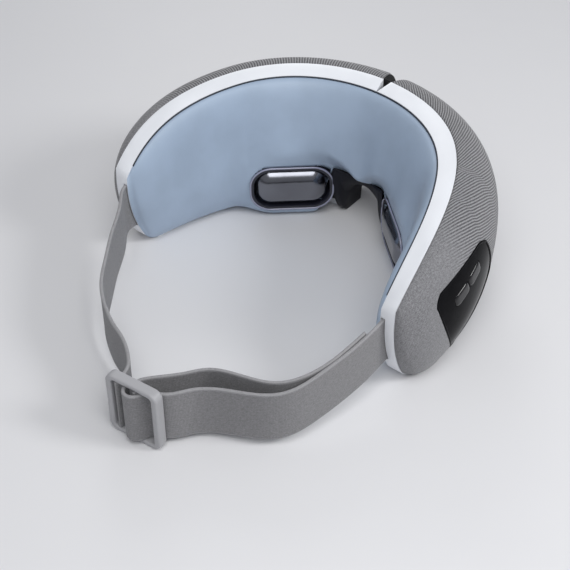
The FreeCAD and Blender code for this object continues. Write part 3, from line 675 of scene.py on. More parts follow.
class CushionMaker:
    """Shape of the face cushion, one skin across both halves."""

    END_ROLL = 15.0
    NOSE_ROLL = 5.0
    LEAN = 15.0
    LEAN_NOSE = 0.6
    LEAN_POWER = 1.2
    LEAN_FADE = 8
    # Plan angles, then the share of the way down, over which thickness, lean and cheek come and go.
    THIN = (45, 70)
    LEAN_IN = (0, 14)
    LEAN_OUT = (40, 66)
    CHEEK_IN = (28, 50)
    CHEEK_OUT = (66, 88)
    CHEEK_DOWN = (0.25, 0.7)
    # Distances from the tray's edge over which the skin comes level with it and rolls in behind it.
    SWELL = (1.0, 13.0)
    WINDOW = (-1.6, -0.2)
    PROUD = 0.6
    BACK = 0.1
    SUNK = 0.6

    def __init__(self, given):
        self.brow = given.cushion_brow / MM
        self.temple = given.cushion_temple / MM
        self.cheek = given.cushion_cheek / MM

    def front(self, u, v):
        return self.point(u, v, True)

    def back(self, u, v):
        return self.point(u, v, False)

    def point(self, u, v, front):
        side = math.copysign(1.0, u)
        share = abs(u)
        height = section(v)
        phi = share * 90
        for _ in range(3):
            top = rim_top(phi) - EDGE
            low = nose_low(phi)
            z = (top + low) / 2 + height * (top - low) / 2
            phi = share * end_angle(z)
        depth = self.BACK
        if front:
            depth += self.depth(phi, share, z, top, low)
            depth = self.meet_tray(phi, depth, z)
        return on_rim(side, phi, -depth, z)

    def depth(self, phi, share, z, top, low):
        roll = crown((1 - share) * RIM_LENGTH / self.END_ROLL)
        if low > EDGE:
            roll *= crown((z - low) / self.NOSE_ROLL)
        height = 2 * (z - EDGE) / (top - EDGE) - 1
        down = (1 - height) / 2
        thick = self.brow + (self.temple - self.brow) * smooth(*self.THIN, phi)
        lean = self.LEAN * (1 - smooth(*self.LEAN_OUT, phi))
        lean *= self.LEAN_NOSE + (1 - self.LEAN_NOSE) * smooth(*self.LEAN_IN, phi)
        cheek = self.cheek * smooth(*self.CHEEK_IN, phi) * (1 - smooth(*self.CHEEK_OUT, phi))
        cheek *= smooth(*self.CHEEK_DOWN, down)
        slope = lean * down ** self.LEAN_POWER * (1 - down ** self.LEAN_FADE)
        return roll * ((thick + cheek) * fullness(height) + slope)

    def meet_tray(self, phi, depth, z):
        """Bring the skin level with the tray's front round it, and roll it in behind the tray."""
        x, y = rim(phi, -depth)
        hx, hy = rim(HEAD_PHI, -HEAD_IN)
        a = math.radians(HEAD_TURN)
        along = (x - hx) * math.cos(a) - (y - hy) * math.sin(a)
        behind = (x - hx) * math.sin(a) + (y - hy) * math.cos(a)
        away = box_distance(along, z - HEAD_Z, TRAY_W / 2, TRAY_H / 2, TRAY_CORNER)
        level = depth + (behind - TRAY_STEP - self.PROUD) / math.cos(math.radians(phi) - a)
        depth += (level - depth) * (1 - smooth(*self.SWELL, away))
        sunk = self.BACK + self.SUNK
        return sunk + (depth - sunk) * smooth(*self.WINDOW, away)


class MASSAGER_OT_cushion(bpy.types.Operator):
    """Leather cushion: one crowned skin across both halves."""

    bl_idname = "massager.cushion"
    bl_label = "Cushion"
    COLUMNS = 281
    ROWS = 97
    FOLD_HALF = 17.0

    def execute(self, context):
        shape = CushionMaker(sizes())
        us = np.linspace(-1.0, 1.0, self.COLUMNS)
        vs = np.linspace(0.0, 1.0, self.ROWS)
        skin = grid_object("face_cushion", us, vs, shape.front)
        back = grid_object("cushion_back", us, vs, shape.back)
        bm = bmesh.new()
        bm.from_mesh(skin.data)
        bm.from_mesh(back.data)
        rims = [e for e in bm.edges if e.is_boundary]
        bmesh.ops.bridge_loops(bm, edges=rims)
        bmesh.ops.recalc_face_normals(bm, faces=bm.faces)
        bm.to_mesh(skin.data)
        bm.free()
        skin.data.shade_smooth()
        bpy.data.objects.remove(back)
        dress(skin, leather(colours().leather))
        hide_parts("cushion_right", "cushion_left", "cushion_bridge")
        span_fold(skin, self.FOLD_HALF)
        return {"FINISHED"}


def cover_skin(phi, z):
    """Distance of the cover's outer face outside the band's inner edge."""
    top = rim_top(phi) + TRIM_RISE
    half = (top + BOTTOM_SINK) / 2
    return trim_width(phi) + SEAM + bulge(phi) * fullness((z - top + half) / half)


def leaf_outline():
    """Panel outline in y and z: four bowed sides, corners eased."""
    y = rim(KEYS_PHI, cover_skin(KEYS_PHI, KEYS_Z))[1]
    tips = [np.array((y + dy, KEYS_Z + dz)) for dy, dz in LEAF_TIPS]
    middle = sum(tips) / len(tips)
    line = []
    for p, q in zip(tips, tips[1:] + tips[:1]):
        away = (p + q) / 2 - middle
        away /= np.linalg.norm(away)
        ease = LEAF_CORNER / np.linalg.norm(q - p)
        for t in np.linspace(ease, 1 - ease, LEAF_STEPS):
            line.append(p + (q - p) * t + away * LEAF_SAG * (1 - (2 * t - 1) ** 2))
    return np.array(line)


def outline_distance(line, y, z):
    """Distance outside a closed outline, negative inside it."""
    p = np.array((y, z))
    ahead = np.roll(line, -1, axis=0) - line
    share = np.clip(((p - line) * ahead).sum(axis=1) / (ahead ** 2).sum(axis=1), 0.0, 1.0)
    near = np.linalg.norm(p - line - ahead * share[:, None], axis=1).min()
    low = line[:, 1] > z
    crossing = low != np.roll(low, -1)
    left = line[:, 0] + (z - line[:, 1]) * ahead[:, 0] / np.where(ahead[:, 1] == 0.0, 1.0, ahead[:, 1])
    return -near if np.count_nonzero(crossing & (left > y)) % 2 else near


class CoverMaker:
    """Shape of one knit cover: its edge turned in at the notch, and on the right sunk under the panel."""

    END_ROLL = 9.0
    TURN_R = 1.2
    TURN_IN = 9.0
    EASE = 0.35
    ARCH_GAP = 0.2
    BASE = 0.25
    PANEL_SINK = 3.2
    PANEL_EDGE = (-2.6, -0.3)

    def __init__(self, side):
        self.side = side
        self.leaf = leaf_outline() if side > 0 else None

    def point(self, u, v):
        """v runs down the skin to its foot (1), then in along the soffit to the band (2)."""
        height = section(min(1.0, v))
        share = max(0.0, u)
        phi = 90 * share
        for _ in range(3):
            top = rim_top(phi) + TRIM_RISE
            low = self.low(phi)
            z = (top + low) / 2 + height * (top - low) / 2
            d = self.reach(u, share, phi, z)
            d += (trim_width(phi) + SEAM - d) * max(0.0, v - 1)
            start = notch_angle(d) + math.degrees(self.EASE / (FRONT_R + d))
            phi = start + share * (end_angle(z) - start)
        if self.leaf is not None:
            away = outline_distance(self.leaf, rim(phi, d)[1], z)
            if rim(phi, d)[0] > TEMPLE_X - 2 * TRIM_W:
                d -= self.PANEL_SINK * (1 - smooth(*self.PANEL_EDGE, away))
        return on_rim(self.side, phi, d, z)

    def low(self, phi):
        x = rim(phi, TRIM_W)[0]
        return arch_low(x, self.ARCH_GAP, self.BASE)

    def reach(self, u, share, phi, z):
        edge = trim_width(phi) + SEAM
        roll = crown((1 - share) * RIM_LENGTH / self.END_ROLL)
        d = edge + (cover_skin(phi, z) - edge) * roll
        near = share * RIM_LENGTH
        if near < self.TURN_R:
            d -= self.TURN_R - math.sqrt(self.TURN_R ** 2 - (self.TURN_R - near) ** 2)
        if u < 0:
            d += self.TURN_IN * u
        return max(d, edge)


class MASSAGER_OT_covers(bpy.types.Operator):
    """Knit covers over both halves, their ribs laid as the cloth is pulled."""

    bl_idname = "massager.covers"
    bl_label = "Knit covers"
    TURNED_COLUMNS = 6
    ROUND_COLUMNS = 8
    ROUND_END = 3.0
    EVEN_START = 4.2
    COLUMNS = 150
    ROWS = 110
    SOFFIT = [1.08, 1.25, 1.5, 1.75, 2.0]
    CLOTH = 0.001

    def execute(self, context):
        given = sizes()
        cloth = knit(colours().knit_light, colours().knit_dark, given.knit_pitch / MM)
        for name, side in SIDES:
            shape = CoverMaker(side)
            us = self.columns()
            vs = list(np.linspace(0.0, 1.0, self.ROWS)) + self.SOFFIT
            points = np.array([[shape.point(u, v) for v in vs] for u in us]) / MM
            ribs = self.rib_map(points, math.radians(RIB_LEAN[name]), RIB_ROW[name]) / RIB_GAUGE[name]
            obj = grid_object("knit_cover_" + name, us, vs, shape.point, lambda i, j: ribs[i, j])
            if side < 0:
                obj.data.flip_normals()
            dress(obj, cloth, name + "_half", ["cover_" + name, "shell_" + name])
            thicken(obj, self.CLOTH)
        return {"FINISHED"}

    def columns(self):
        """Turned-in edge, the round over it, then even steps to the temple."""
        turned = list(np.linspace(-1.0, -0.1, self.TURNED_COLUMNS))
        round_over = list(np.linspace(0.0, self.ROUND_END, self.ROUND_COLUMNS) / RIM_LENGTH)
        return turned + round_over + list(np.linspace(self.EVEN_START / RIM_LENGTH, 1.0, self.COLUMNS))

    def rib_map(self, points, lean, row):
        """Rib coordinate and distance along the rib at each grid point, in millimetres."""
        steps_u = np.linalg.norm(np.diff(points, axis=0), axis=2)
        steps_v = np.linalg.norm(np.diff(points, axis=1), axis=2)
        along = np.concatenate([[0.0], np.cumsum(steps_u[:, int(row * points.shape[1])])])
        down = np.concatenate([np.zeros((len(points), 1)), np.cumsum(steps_v, axis=1)], axis=1)
        over = along[:, None] * math.cos(lean) + down * math.sin(lean)
        length = down * math.cos(lean) - along[:, None] * math.sin(lean)
        return np.stack([over, length], axis=2)


class MASSAGER_OT_band(bpy.types.Operator):
    """White rim bands with broken edges, and a dark bead along their inner edge that paints the shade in
    the crease between band and cushion.
    """

    bl_idname = "massager.band"
    bl_label = "Rim bands"
    SHADE_BEAD_R = 0.42
    SHADE_BEAD_IN = 0.3
    SHADE_BEAD_SINK = 0.5
    SHADE_BEAD_ENDS = (0.15, 88.0)
    SHADE_BEAD_STEPS = 140
    SHADE_BEAD_FACETS = 11

    def execute(self, context):
        white = satin("satin_white", colours().band, rough=0.3, coat_weight=0.25, coat_roughness=0.25)
        # Dark slate of the crease bead: painted shade.
        slate = satin("shade_bead_slate", colours().shade_bead, rough=0.5)
        for name, side in SIDES:
            paint("trim_" + name, white)
            soften("trim_" + name, sizes().edge_round)
            self.shade_bead(name, side, slate)
        return {"FINISHED"}

    def shade_bead(self, name, side, material):
        """Thin dark bead in the crease between band and cushion: painted shade of the crease."""
        def point(phi, turn):
            z = rim_top(phi) - self.SHADE_BEAD_SINK + self.SHADE_BEAD_R * math.sin(turn)
            return on_rim(side, phi, self.SHADE_BEAD_R * math.cos(turn) - self.SHADE_BEAD_IN, z)

        phis = np.linspace(*self.SHADE_BEAD_ENDS, self.SHADE_BEAD_STEPS)
        turns = np.linspace(0.0, FULL_TURN, self.SHADE_BEAD_FACETS)
        obj = grid_object("shade_bead_" + name, phis, turns, point, wrap=True, cap=True)
        dress(obj, material, name + "_half")


class MASSAGER_OT_gusset(bpy.types.Operator):
    """Stretch cloth that lines the notch and spans the fold."""

    bl_idname = "massager.gusset"
    bl_label = "Fold gusset"
    INNER = 12.0
    OUTER = 33.0
    UNDER = (0.7, 0.4)
    FOOT = 1.2
    NEAR = 0.98
    FULLEST = 0.999
    ARCH_GAP = 0.3
    FOLD_HALF = 2.4
    COLUMNS = 49
    ROWS = 30
    SPAN = (20, 50)
    CLOTH = 0.0007

    def point(self, u, v):
        spread = min(1.0, max(-1.0, 2 * u))
        wall = max(0.0, 2 * abs(u) - 1)
        r = self.INNER + (self.OUTER - self.INNER) * wall
        a = math.radians(NOTCH_HALF * spread * self.NEAR)
        x = r * math.sin(a)
        y = HINGE_Y + r * math.cos(a)
        d = math.hypot(x, y + FRONT_R) - FRONT_R
        out = min(self.FULLEST, max(0.0, (d - TRIM_W) / BULGE))
        half = (TOP_Z + TRIM_RISE + BOTTOM_SINK) / 2
        rise = half * (1 - out ** FULLNESS) ** (1 / FULLNESS)
        upper = half - BOTTOM_SINK + rise - self.UNDER[0] - (self.UNDER[1] - self.UNDER[0]) * wall
        lower = max(arch_low(x, self.ARCH_GAP, 0.0), half - BOTTOM_SINK - rise) + self.FOOT
        return metres(x, y, upper + (lower - upper) * v)

    def execute(self, context):
        wide, tall = self.SPAN
        us = np.linspace(-1.0, 1.0, self.COLUMNS)
        vs = np.linspace(0.0, 1.0, self.ROWS)
        obj = grid_object("notch_gusset", us, vs, self.point, lambda i, j: (us[i] * wide, vs[j] * tall))
        thicken(obj, self.CLOTH)
        dress(obj, gusset_cloth(colours().gusset))
        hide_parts("fold_gusset")
        span_fold(obj, self.FOLD_HALF)
        return {"FINISHED"}


def round_box(share, half_w, half_h, corner):
    """Point and outward direction at a share of the way round a rounded rectangle."""
    flat_w = half_w - corner
    flat_h = half_h - corner
    arc = corner * math.pi / 2
    at = (share % 1.0) * (4 * (flat_w + flat_h) + 4 * arc)
    turn = 0
    sides = (2 * flat_h, 2 * flat_w, 2 * flat_h, 2 * flat_w)
    while turn < 3 and at > sides[turn] + arc:
        at -= sides[turn] + arc
        turn += 1
    straight = min(at, sides[turn])
    bend = max(0.0, at - sides[turn]) / corner
    reach = (flat_w, flat_h)[turn % 2]
    ahead = straight - sides[turn] / 2
    out = Vector((math.cos(bend), math.sin(bend)))
    point = Vector((reach, ahead)) + out * corner
    spin = Matrix.Rotation(turn * math.pi / 2, 2)
    return spin @ point, spin @ out


class MASSAGER_OT_heads(bpy.types.Operator):
    """Domed massage heads, their trays and the pale lip ring round each, whose colour paints the highlight
    on the tray's edge.
    """

    bl_idname = "massager.heads"
    bl_label = "Massage heads"
    AROUND = 121
    RINGS = 30
    CROWD = 1.8
    WALL = [1.15, 1.5, 2.0]
    LIP_R = 0.5
    LIP_IN = 0.7
    LIP_BACK = 0.2
    LIP_AROUND = 161
    LIP_FACETS = 13

    def execute(self, context):
        tint = colours()
        chrome = gunmetal(tint.heads)
        dark = satin("tray_satin", tint.trays, rough=0.3)
        # The lip's pale lilac is a painted highlight on the tray's edge; its coat adds real gloss on top.
        lip_highlight = satin("lip_painted_highlight", tint.lip_highlight, rough=0.2, coat_weight=1.0, coat_roughness=0.08)
        for name, side in SIDES:
            self.head(name, side, chrome)
            self.lip_highlight(name, side, lip_highlight)
            paint("head_tray_" + name, dark)
            soften("head_tray_" + name, sizes().edge_round)
        return {"FINISHED"}

    def head(self, name, side, chrome):
        place = head_place(side)
        dome = sizes().head_dome / MM

        def point(out, share):
            """Out runs from the crown (0) over the edge (1) to the back (2)."""
            inside = min(1.0, out)
            at = round_box(share, HEAD_W / 2, HEAD_H / 2, HEAD_CORNER)[0] * inside
            edge = -box_distance(at.x, at.y, HEAD_W / 2, HEAD_H / 2, HEAD_CORNER)
            back = dome * (1 - min(1.0, edge / SHOULDER)) ** SHOULDER_ROLL
            if out > 1.0:
                back = dome + (HEAD_T - dome) * (out - 1.0)
            return place(at, back)

        shares = np.linspace(0.0, 1.0, self.AROUND)
        outs = list(1 - (1 - np.linspace(0.0, 1.0, self.RINGS)) ** self.CROWD) + self.WALL
        obj = grid_object("head_" + name, outs, shares, point, wrap=True, cap=True)
        dress(obj, chrome, name + "_head", ["massage_head_" + name])

    # Thin pale ring on the tray's edge: painted highlight.
    def lip_highlight(self, name, side, material):
        place = head_place(side)

        def point(share, turn):
            at, out = round_box(share, TRAY_W / 2, TRAY_H / 2, TRAY_CORNER)
            at = at + out * self.LIP_R * (math.cos(turn) - self.LIP_IN)
            back = TRAY_STEP + self.LIP_R * (math.sin(turn) + self.LIP_BACK)
            return place(at, back)

        shares = np.linspace(0.0, 1.0, self.LIP_AROUND)
        turns = np.linspace(0.0, FULL_TURN, self.LIP_FACETS)
        obj = grid_object("tray_lip_" + name, shares, turns, point, wrap=True)
        dress(obj, material, name + "_half")


class MASSAGER_OT_nose(bpy.types.Operator):
    """Dark web under the cushion that lines the nose arch between the two head trays: a dark lining,
    darkened further as painted shade under the arch.
    """

    bl_idname = "massager.nose"
    bl_label = "Nose web"
    HALF = 15.9
    LEG_FOOT = 0.8
    TUCK = 2.0
    TUCK_SHARE = 0.75
    LIP_Y = -2.0
    LIP_AT = 0.6
    BACK = 8.6
    CLEAR = 0.35
    FOLD_HALF = 13.0
    COLUMNS = 61
    ROWS = 41
    WALL = 0.0006
    SHADE_DARKER = 0.5

    def tuck(self, shape, x):
        """Depth and height of the web's upper edge, inside the cushion."""
        phi = math.degrees(math.asin(abs(x) / (NOSE_SHARE * FRONT_R)))
        low = nose_low(phi)
        z = low + self.TUCK
        depth = self.TUCK_SHARE * shape.depth(phi, phi / 90, z, rim_top(phi) - EDGE, low)
        return math.sqrt((FRONT_R - depth) ** 2 - x * x) - FRONT_R, z

    def execute(self, context):
        shape = CushionMaker(sizes())
        r = ARCH_R - self.CLEAR

        def point(u, v):
            """v rolls from inside the cushion to the arch's lip, then runs back along the soffit."""
            x = u * self.HALF
            low = self.LEG_FOOT
            if abs(x) < r:
                low = ARCH_TOP - ARCH_R + math.sqrt(r * r - x * x)
            y, z = self.tuck(shape, x)
            turn = min(1.0, v / self.LIP_AT) * math.pi / 2
            z += (low - z) * math.sin(turn)
            y += (self.LIP_Y - y) * (1 - math.cos(turn))
            back = max(0.0, (v - self.LIP_AT) / (1 - self.LIP_AT))
            return metres(x, y + (self.BACK - y) * back, z)

        us = np.sin(np.linspace(-math.pi / 2, math.pi / 2, self.COLUMNS))
        vs = np.linspace(0.0, 1.0, self.ROWS)
        obj = grid_object("nose_web", us, vs, point)
        thicken(obj, self.WALL)
        # Half the trays' colour: painted shade under the nose arch on top of the web's own dark colour.
        tint = shade(colours().trays, self.SHADE_DARKER)[:3]
        dress(obj, satin("web_black", tint, rough=0.45, specular_ior_level=0.15))
        span_fold(obj, self.FOLD_HALF)
        return {"FINISHED"}


class MASSAGER_OT_controls(bpy.types.Operator):
    """Black control panel and its two domed keys."""

    bl_idname = "massager.controls"
    bl_label = "Control panel"
    RISE = 0.6
    SUNK = 0.5
    ROLL = 1.4
    WALL = 1.2
    AROUND = 89
    RINGS = 18
    BEAD_R = 0.7
    BEAD_SINK = 0.45
    BEAD_FACETS = 11
    ROUNDS = 3
    NEAR = 0.75
    SETTLE = 6
    PANEL_SHINE = 0.015
    KEY_SHINE = 0.3
    KEY_PALER = 1.2

    def execute(self, context):
        panel = gloss("panel_gloss", colours().panel, self.PANEL_SHINE)
        keys = gloss("key_gloss", shade(colours().panel, self.KEY_PALER)[:3], self.KEY_SHINE)
        paint("control_panel", panel)
        self.rim_bead(panel)
        self.cap("mode", 0.5, keys)
        self.cap("power", -0.5, keys)
        return {"FINISHED"}

    def rim_bead(self, material):
        """Moulded edge of the panel, where it stands over the knit."""
        line = leaf_outline()
        for _ in range(self.ROUNDS):
            step = np.roll(line, -1, axis=0) - line
            line = np.stack([line + (1 - self.NEAR) * step, line + self.NEAR * step], axis=1).reshape(-1, 2)
        line = np.concatenate([line, line[:1]])
        middle = line.mean(axis=0)

        def point(k, turn):
            out = line[int(k)] - middle
            y, z = line[int(k)] + out / np.linalg.norm(out) * self.BEAD_R * math.cos(turn)
            phi = KEYS_PHI
            for _ in range(self.SETTLE):
                d = cover_skin(phi, z)
                phi = math.degrees(math.acos((y + TEMPLE_Y) / (SIDE_R + d)))
            return on_rim(1.0, phi, d + self.BEAD_R * (math.sin(turn) - self.BEAD_SINK), z)

        ks = range(len(line))
        turns = np.linspace(0.0, FULL_TURN, self.BEAD_FACETS)
        obj = grid_object("panel_bead", ks, turns, point, wrap=True)
        dress(obj, material, "right_half")

    def axes(self):
        """Middle of the two keys and their slanted axes in the panel."""
        a = math.radians(KEYS_TURN)
        b = math.radians(KEYS_TILT)
        c = math.radians(KEYS_SLANT)
        out = Vector((math.cos(b) * math.sin(a), math.cos(b) * math.cos(a), math.sin(b)))
        back = Vector((math.cos(a), -math.sin(a), 0.0))
        up = back.cross(out)
        x, y = rim(KEYS_PHI, cover_skin(KEYS_PHI, KEYS_Z))
        wide = back * math.cos(c) - up * math.sin(c)
        tall = back * math.sin(c) + up * math.cos(c)
        return Vector((x, y, KEYS_Z)), wide, tall

    def cap(self, name, place, material):
        middle, wide, tall = self.axes()
        middle += wide * place * KEY_PITCH

        def point(ring, share):
            """Ring runs from the crown (0) over the edge (1) to the foot (2)."""
            inside = min(1.0, ring)
            at = round_box(share, KEY_W / 2, KEY_H / 2, KEY_CORNER)[0] * inside
            p = middle + wide * at.x + tall * at.y
            phi = math.degrees(math.atan2(p.x - SIDE_X, p.y + TEMPLE_Y))
            roll = crown((1 - inside) * KEY_H / 2 / self.ROLL)
            rise = (self.RISE + self.SUNK) * roll - self.SUNK - self.WALL * max(0.0, ring - 1)
            return on_rim(1.0, phi, cover_skin(phi, p.z) + rise, p.z)

        rings = list(1 - (1 - np.linspace(0.0, 1.0, self.RINGS)) ** 2) + [2.0]
        shares = np.linspace(0.0, 1.0, self.AROUND)
        obj = grid_object(name + "_cap", rings, shares, point, wrap=True, cap=True)
        dress(obj, material, name + "_button", [name + "_key"])


def spline_line(points, step, fine_steps=60, fewest=8):
    """Natural cubic spline through plan points, sampled at even steps along its length."""
    p = np.array(points, float)
    t = np.concatenate([[0.0], np.cumsum(np.linalg.norm(np.diff(p, axis=0), axis=1))])
    h = np.diff(t)
    n = len(p)
    system = np.eye(n)
    right = np.zeros((n, 2))
    for k in range(1, n - 1):
        system[k, k - 1:k + 2] = h[k - 1], 2 * (h[k - 1] + h[k]), h[k]
        right[k] = 6 * ((p[k + 1] - p[k]) / h[k] - (p[k] - p[k - 1]) / h[k - 1])
    bend = np.linalg.solve(system, right)
    fine = np.linspace(0.0, t[-1], fine_steps * n)
    k = np.clip(np.searchsorted(t, fine, side="right") - 1, 0, n - 2)
    a = (t[k + 1] - fine)[:, None]
    b = (fine - t[k])[:, None]
    w = h[k][:, None]
    line = (bend[k] * a ** 3 + bend[k + 1] * b ** 3) / (6 * w)
    line += (p[k] / w - bend[k] * w / 6) * a + (p[k + 1] / w - bend[k + 1] * w / 6) * b
    run = np.concatenate([[0.0], np.cumsum(np.linalg.norm(np.diff(line, axis=0), axis=1))])
    even = np.linspace(0.0, run[-1], max(fewest, round(run[-1] / step)))
    return np.stack([np.interp(even, run, line[:, i]) for i in range(2)], axis=1), even


def route(shares, side):
    return [(side * x * STRAP_X, STRAP_Y - y * STRAP_BACK) for x, y in shares]


def slider_point(x, y):
    a = math.radians(SLIDER_TURN)
    return x * math.cos(a) - y * math.sin(a), SLIDER_Y + x * math.sin(a) + y * math.cos(a)


def turn_round(x, r, first, last, step):
    """Points round a slider bar, by degrees."""
    angles = [math.radians(a) for a in range(first, last + step // abs(step), step)]
    return [slider_point(x + r * math.cos(a), r * math.sin(a)) for a in angles]


def strap_mid(y):
    t = min(1.0, max(0.0, 1 - (STRAP_Y - y) / (STRAP_LOW * STRAP_BACK)))
    return SLIDER_MID_Z + (STRAP_TEMPLE_Z - SLIDER_MID_Z) * t ** 1.2


class MASSAGER_OT_straps(bpy.types.Operator):
    """Webbing: the left strap, the right strap over the slider and its inner ply."""

    bl_idname = "massager.straps"
    bl_label = "Straps"
    STEP = 1.2
    SELVAGE = 0.12
    SELVAGE_AT = (2.6, 1.6)
    EDGE_STEPS = 5
    TAB_IN = 5.0
    SWING = (2.0, -3.0)
    HOOK_ARC = (30, -30, -30)
    LOOP_ARC = (-60, 90, 30)
    PLY_SHARES = (0.80, 0.84, 0.88, 0.92)

    def execute(self, context):
        cloth = webbing(colours().webbing)
        left_tab = [(-STRAP_X, STRAP_Y + self.TAB_IN), (-STRAP_X, STRAP_Y + self.TAB_IN / 2)]
        left = left_tab + route(LEFT_ROUTE, -1) + turn_round(0.0, HOOK_R, *self.HOOK_ARC)
        obj = self.ribbon("webbing_left", left, cloth)
        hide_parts("strap_left", "strap_tab_left")
        self.swing(obj, "left", -1.0)

        right_tab = [(STRAP_X, STRAP_Y + self.TAB_IN / 2), (STRAP_X, STRAP_Y + self.TAB_IN)]
        wrap = [slider_point(SLIDER_MID_X + x, y) for x, y in WRAP]
        free = wrap + route(OUTER_ROUTE, 1)
        obj = self.ribbon("webbing_outer", free + right_tab, cloth)
        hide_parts("strap_outer", "strap_tab_right")
        self.swing(obj, "right", 1.0)

        line, run = spline_line(free, self.STEP)
        ply = [self.beside(line, run, share) for share in self.PLY_SHARES]
        inner = turn_round(SLIDER_MID_X, LOOP_R, *self.LOOP_ARC) + route(INNER_ROUTE, 1) + ply
        obj = self.ribbon("webbing_inner", inner, cloth)
        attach(obj, "right_strap")
        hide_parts("strap_inner")
        return {"FINISHED"}

    def beside(self, line, run, share):
        """Point of the inner ply beside the outer one at a share of its length."""
        k = int(np.searchsorted(run, share * run[-1]))
        ahead = line[k + 1] - line[k - 1]
        ahead /= np.linalg.norm(ahead)
        return line[k][0] - ahead[1] * STRAP_PLY, line[k][1] + ahead[0] * STRAP_PLY

    def ribbon(self, name, points, cloth):
        line, run = spline_line(points, self.STEP)
        ahead = np.gradient(line, axis=0)
        ahead /= np.linalg.norm(ahead, axis=1)[:, None]
        half_w = sizes().webbing_width / MM / 2
        half_t = sizes().webbing_thickness / MM / 2
        around = self.edge_round(half_w, half_t)

        def point(k, r):
            thick, across = around[int(r)]
            k = int(k)
            normal = Vector((-ahead[k][1], ahead[k][0]))
            z = strap_mid(line[k][1]) + across
            return metres(line[k][0] + normal.x * thick, line[k][1] + normal.y * thick, z)

        ks = range(len(line))
        rs = range(len(around))
        obj = grid_object(name, ks, rs, point, lambda i, j: (run[i], around[j][1]), wrap=True, cap=True)
        return dress(obj, cloth)

    def edge_round(self, half_w, half_t):
        """Webbing section: flat faces, a slightly fuller selvage, round edges."""
        full = half_t + self.SELVAGE
        flat, risen = (half_w - inset for inset in self.SELVAGE_AT)
        face = [(half_t, 0.0), (half_t, half_w / 2), (half_t, flat), (full, risen)]
        turns = np.linspace(0.0, math.pi / 2, self.EDGE_STEPS)
        edge = [(full * math.cos(a), half_w - full + full * math.sin(a)) for a in turns]
        quarter = face + edge
        half = quarter + [(-t, w) for t, w in reversed(quarter[:-1])]
        return half + [(t, -w) for t, w in reversed(half[1:-1])] + half[:1]

    def swing(self, obj, name, side):
        start, end = (metres(side * STRAP_X, STRAP_Y + y, 0.0) for y in self.SWING)
        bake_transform(obj)


class MASSAGER_OT_slider(bpy.types.Operator):
    """Slider plate at the back of the strap."""

    bl_idname = "massager.slider"
    bl_label = "Slider"

    def execute(self, context):
        paint("slider", satin("slider_satin", colours().slider, rough=0.42, grain=1200.0))
        return {"FINISHED"}


def pairs(*names):
    """The right and left node of each name."""
    return [name + "_" + side for name in names for side, _ in SIDES]


class MASSAGER_OT_workings(bpy.types.Operator):
    """Finishes of what is inside: frames, hinge, air line, boards, battery and speaker."""

    bl_idname = "massager.workings"
    bl_label = "Workings"

    def execute(self, context):
        steel = metal("hinge_steel", (0.55, 0.55, 0.57), 0.25)
        black = satin("frame_black", (0.014, 0.014, 0.016), rough=0.45)
        grey = satin("shell_grey", (0.11, 0.115, 0.125), rough=0.5)
        alloy = metal("pouch_foil", (0.6, 0.61, 0.63), 0.35)
        amber = satin("heater_film", (0.3, 0.11, 0.02), rough=0.3)
        clear = satin("air_cell_film", (0.45, 0.45, 0.43), rough=0.3)
        green = board((0.012, 0.07, 0.03))
        finishes = (
            (steel, pairs("hinge_leaf", "hinge_screws", "strap_bar", "vibration_motor")),
            (steel, ["hinge_pin", "charge_port"]),
            (black, pairs("frame") + ["fold_harness"]),
            (grey, pairs("shell") + ["air_pump", "air_valve", "speaker"]),
            (alloy, ["battery"]),
            (amber, pairs("heater_film")),
            (clear, pairs("air_cell")),
            (green, ["key_board", "main_board"]),
        )
        for material, nodes in finishes:
            for node in nodes:
                paint(node, material)
        return {"FINISHED"}


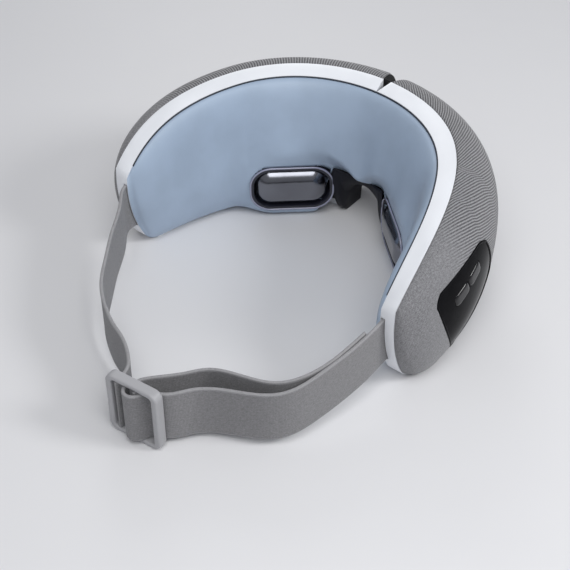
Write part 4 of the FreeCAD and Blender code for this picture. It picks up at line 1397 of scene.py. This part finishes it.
class MASSAGER_OT_stage(bpy.types.Operator):
    """Pale floor, soft studio light and the camera."""

    bl_idname = "massager.stage"
    bl_label = "Stage"
    # Each lamp's name, place from the hinge and width in metres, and watts.
    LAMPS = (
        ("key", (0.28, -0.4, 0.74), 0.6, 3.5),
        ("fill", (0.7, 0.18, 0.58), 0.27, 3.4),
        ("side", (-0.55, 0.5, 0.5), 0.4, 1.0),
    )
    FLOOR_HALF = 6.0
    FLOOR_DROP = 0.0002
    SKY = (0.93, 0.95, 1.0, 1.0)
    SKY_STRENGTH = 0.36
    SENSOR = 36.0
    CLIP_START = 0.01
    AIM = (0.0003, 0.0006)

    def execute(self, context):
        scene = context.scene
        studio = scene.massager_studio
        scene.view_settings.view_transform = "Standard"
        self.floor(studio)
        self.world(scene)
        hinge = metres(0.0, HINGE_Y, 0.0)
        for name, offset, width, power in self.LAMPS:
            self.lamp(name, hinge + Vector(offset), hinge, width, power)
        self.camera(scene, studio, hinge)
        return {"FINISHED"}

    def floor(self, studio):
        bm = bmesh.new()
        bmesh.ops.create_grid(bm, x_segments=1, y_segments=1, size=self.FLOOR_HALF)
        bmesh.ops.translate(bm, vec=(0.0, 0.0, -self.FLOOR_DROP), verts=bm.verts)
        obj = piece("floor", bm)
        pale = satin("pale_floor", studio.floor, rough=0.5, grain=60.0, depth=0.000004, mottle=0.002)
        obj.data.materials.append(pale)

    def world(self, scene):
        world = bpy.data.worlds.new("studio")
        world.use_nodes = True
        background = world.node_tree.nodes["Background"]
        background.inputs["Color"].default_value = self.SKY
        background.inputs["Strength"].default_value = self.SKY_STRENGTH
        scene.world = world

    def lamp(self, name, place, target, width, power):
        data = bpy.data.lights.new(name, "AREA")
        data.shape = "DISK"
        data.size = width
        data.energy = power
        lamp = bpy.data.objects.new(name, data)
        lamp.location = place
        lamp.rotation_mode = "QUATERNION"
        lamp.rotation_quaternion = (target - lamp.location).to_track_quat("-Z", "Y")
        bpy.context.scene.collection.objects.link(lamp)

    def camera(self, scene, studio, hinge):
        data = bpy.data.cameras.new("camera")
        data.lens = studio.lens
        data.sensor_width = self.SENSOR
        data.clip_start = self.CLIP_START
        camera = bpy.data.objects.new("camera", data)
        a = studio.azimuth
        e = studio.elevation
        back = Vector((math.sin(a) * math.cos(e), -math.cos(a) * math.cos(e), math.sin(e)))
        target = hinge + Vector((self.AIM[0], -studio.target_back, self.AIM[1]))
        camera.location = target + back * studio.distance
        camera.rotation_mode = "QUATERNION"
        camera.rotation_quaternion = (-back).to_track_quat("-Z", "Y")
        scene.collection.objects.link(camera)
        scene.camera = camera


class MASSAGER_PT_pieces(bpy.types.Panel):
    """Sidebar list of the pieces and their settings."""

    bl_idname = "MASSAGER_PT_pieces"
    bl_label = "Eye massager"
    bl_space_type = "VIEW_3D"
    bl_region_type = "UI"
    bl_category = "Massager"

    def draw(self, context):
        for operator in OPERATORS:
            self.layout.operator(operator.bl_idname)
        for name, group in GROUPS.items():
            box = self.layout.box()
            for key in group.__annotations__:
                box.prop(getattr(context.scene, name), key)


GROUPS = {
    "massager_sizes": MassagerSizes,
    "massager_colours": MassagerColours,
    "massager_studio": StudioSettings,
}
OPERATORS = (MASSAGER_OT_cushion, MASSAGER_OT_covers, MASSAGER_OT_band, MASSAGER_OT_gusset,
             MASSAGER_OT_heads, MASSAGER_OT_nose, MASSAGER_OT_controls, MASSAGER_OT_straps,
             MASSAGER_OT_slider, MASSAGER_OT_workings, MASSAGER_OT_stage)
CLASSES = (*GROUPS.values(), *OPERATORS, MASSAGER_PT_pieces)


def register():
    for cls in CLASSES:
        bpy.utils.register_class(cls)
    for name, group in GROUPS.items():
        setattr(bpy.types.Scene, name, bpy.props.PointerProperty(type=group))


def unregister():
    for name in GROUPS:
        delattr(bpy.types.Scene, name)
    for cls in reversed(CLASSES):
        bpy.utils.unregister_class(cls)


def main():
    register()
    for operator in OPERATORS:
        group, name = operator.bl_idname.split(".")
        getattr(getattr(bpy.ops, group), name)()


if __name__ == "__main__":
    main()
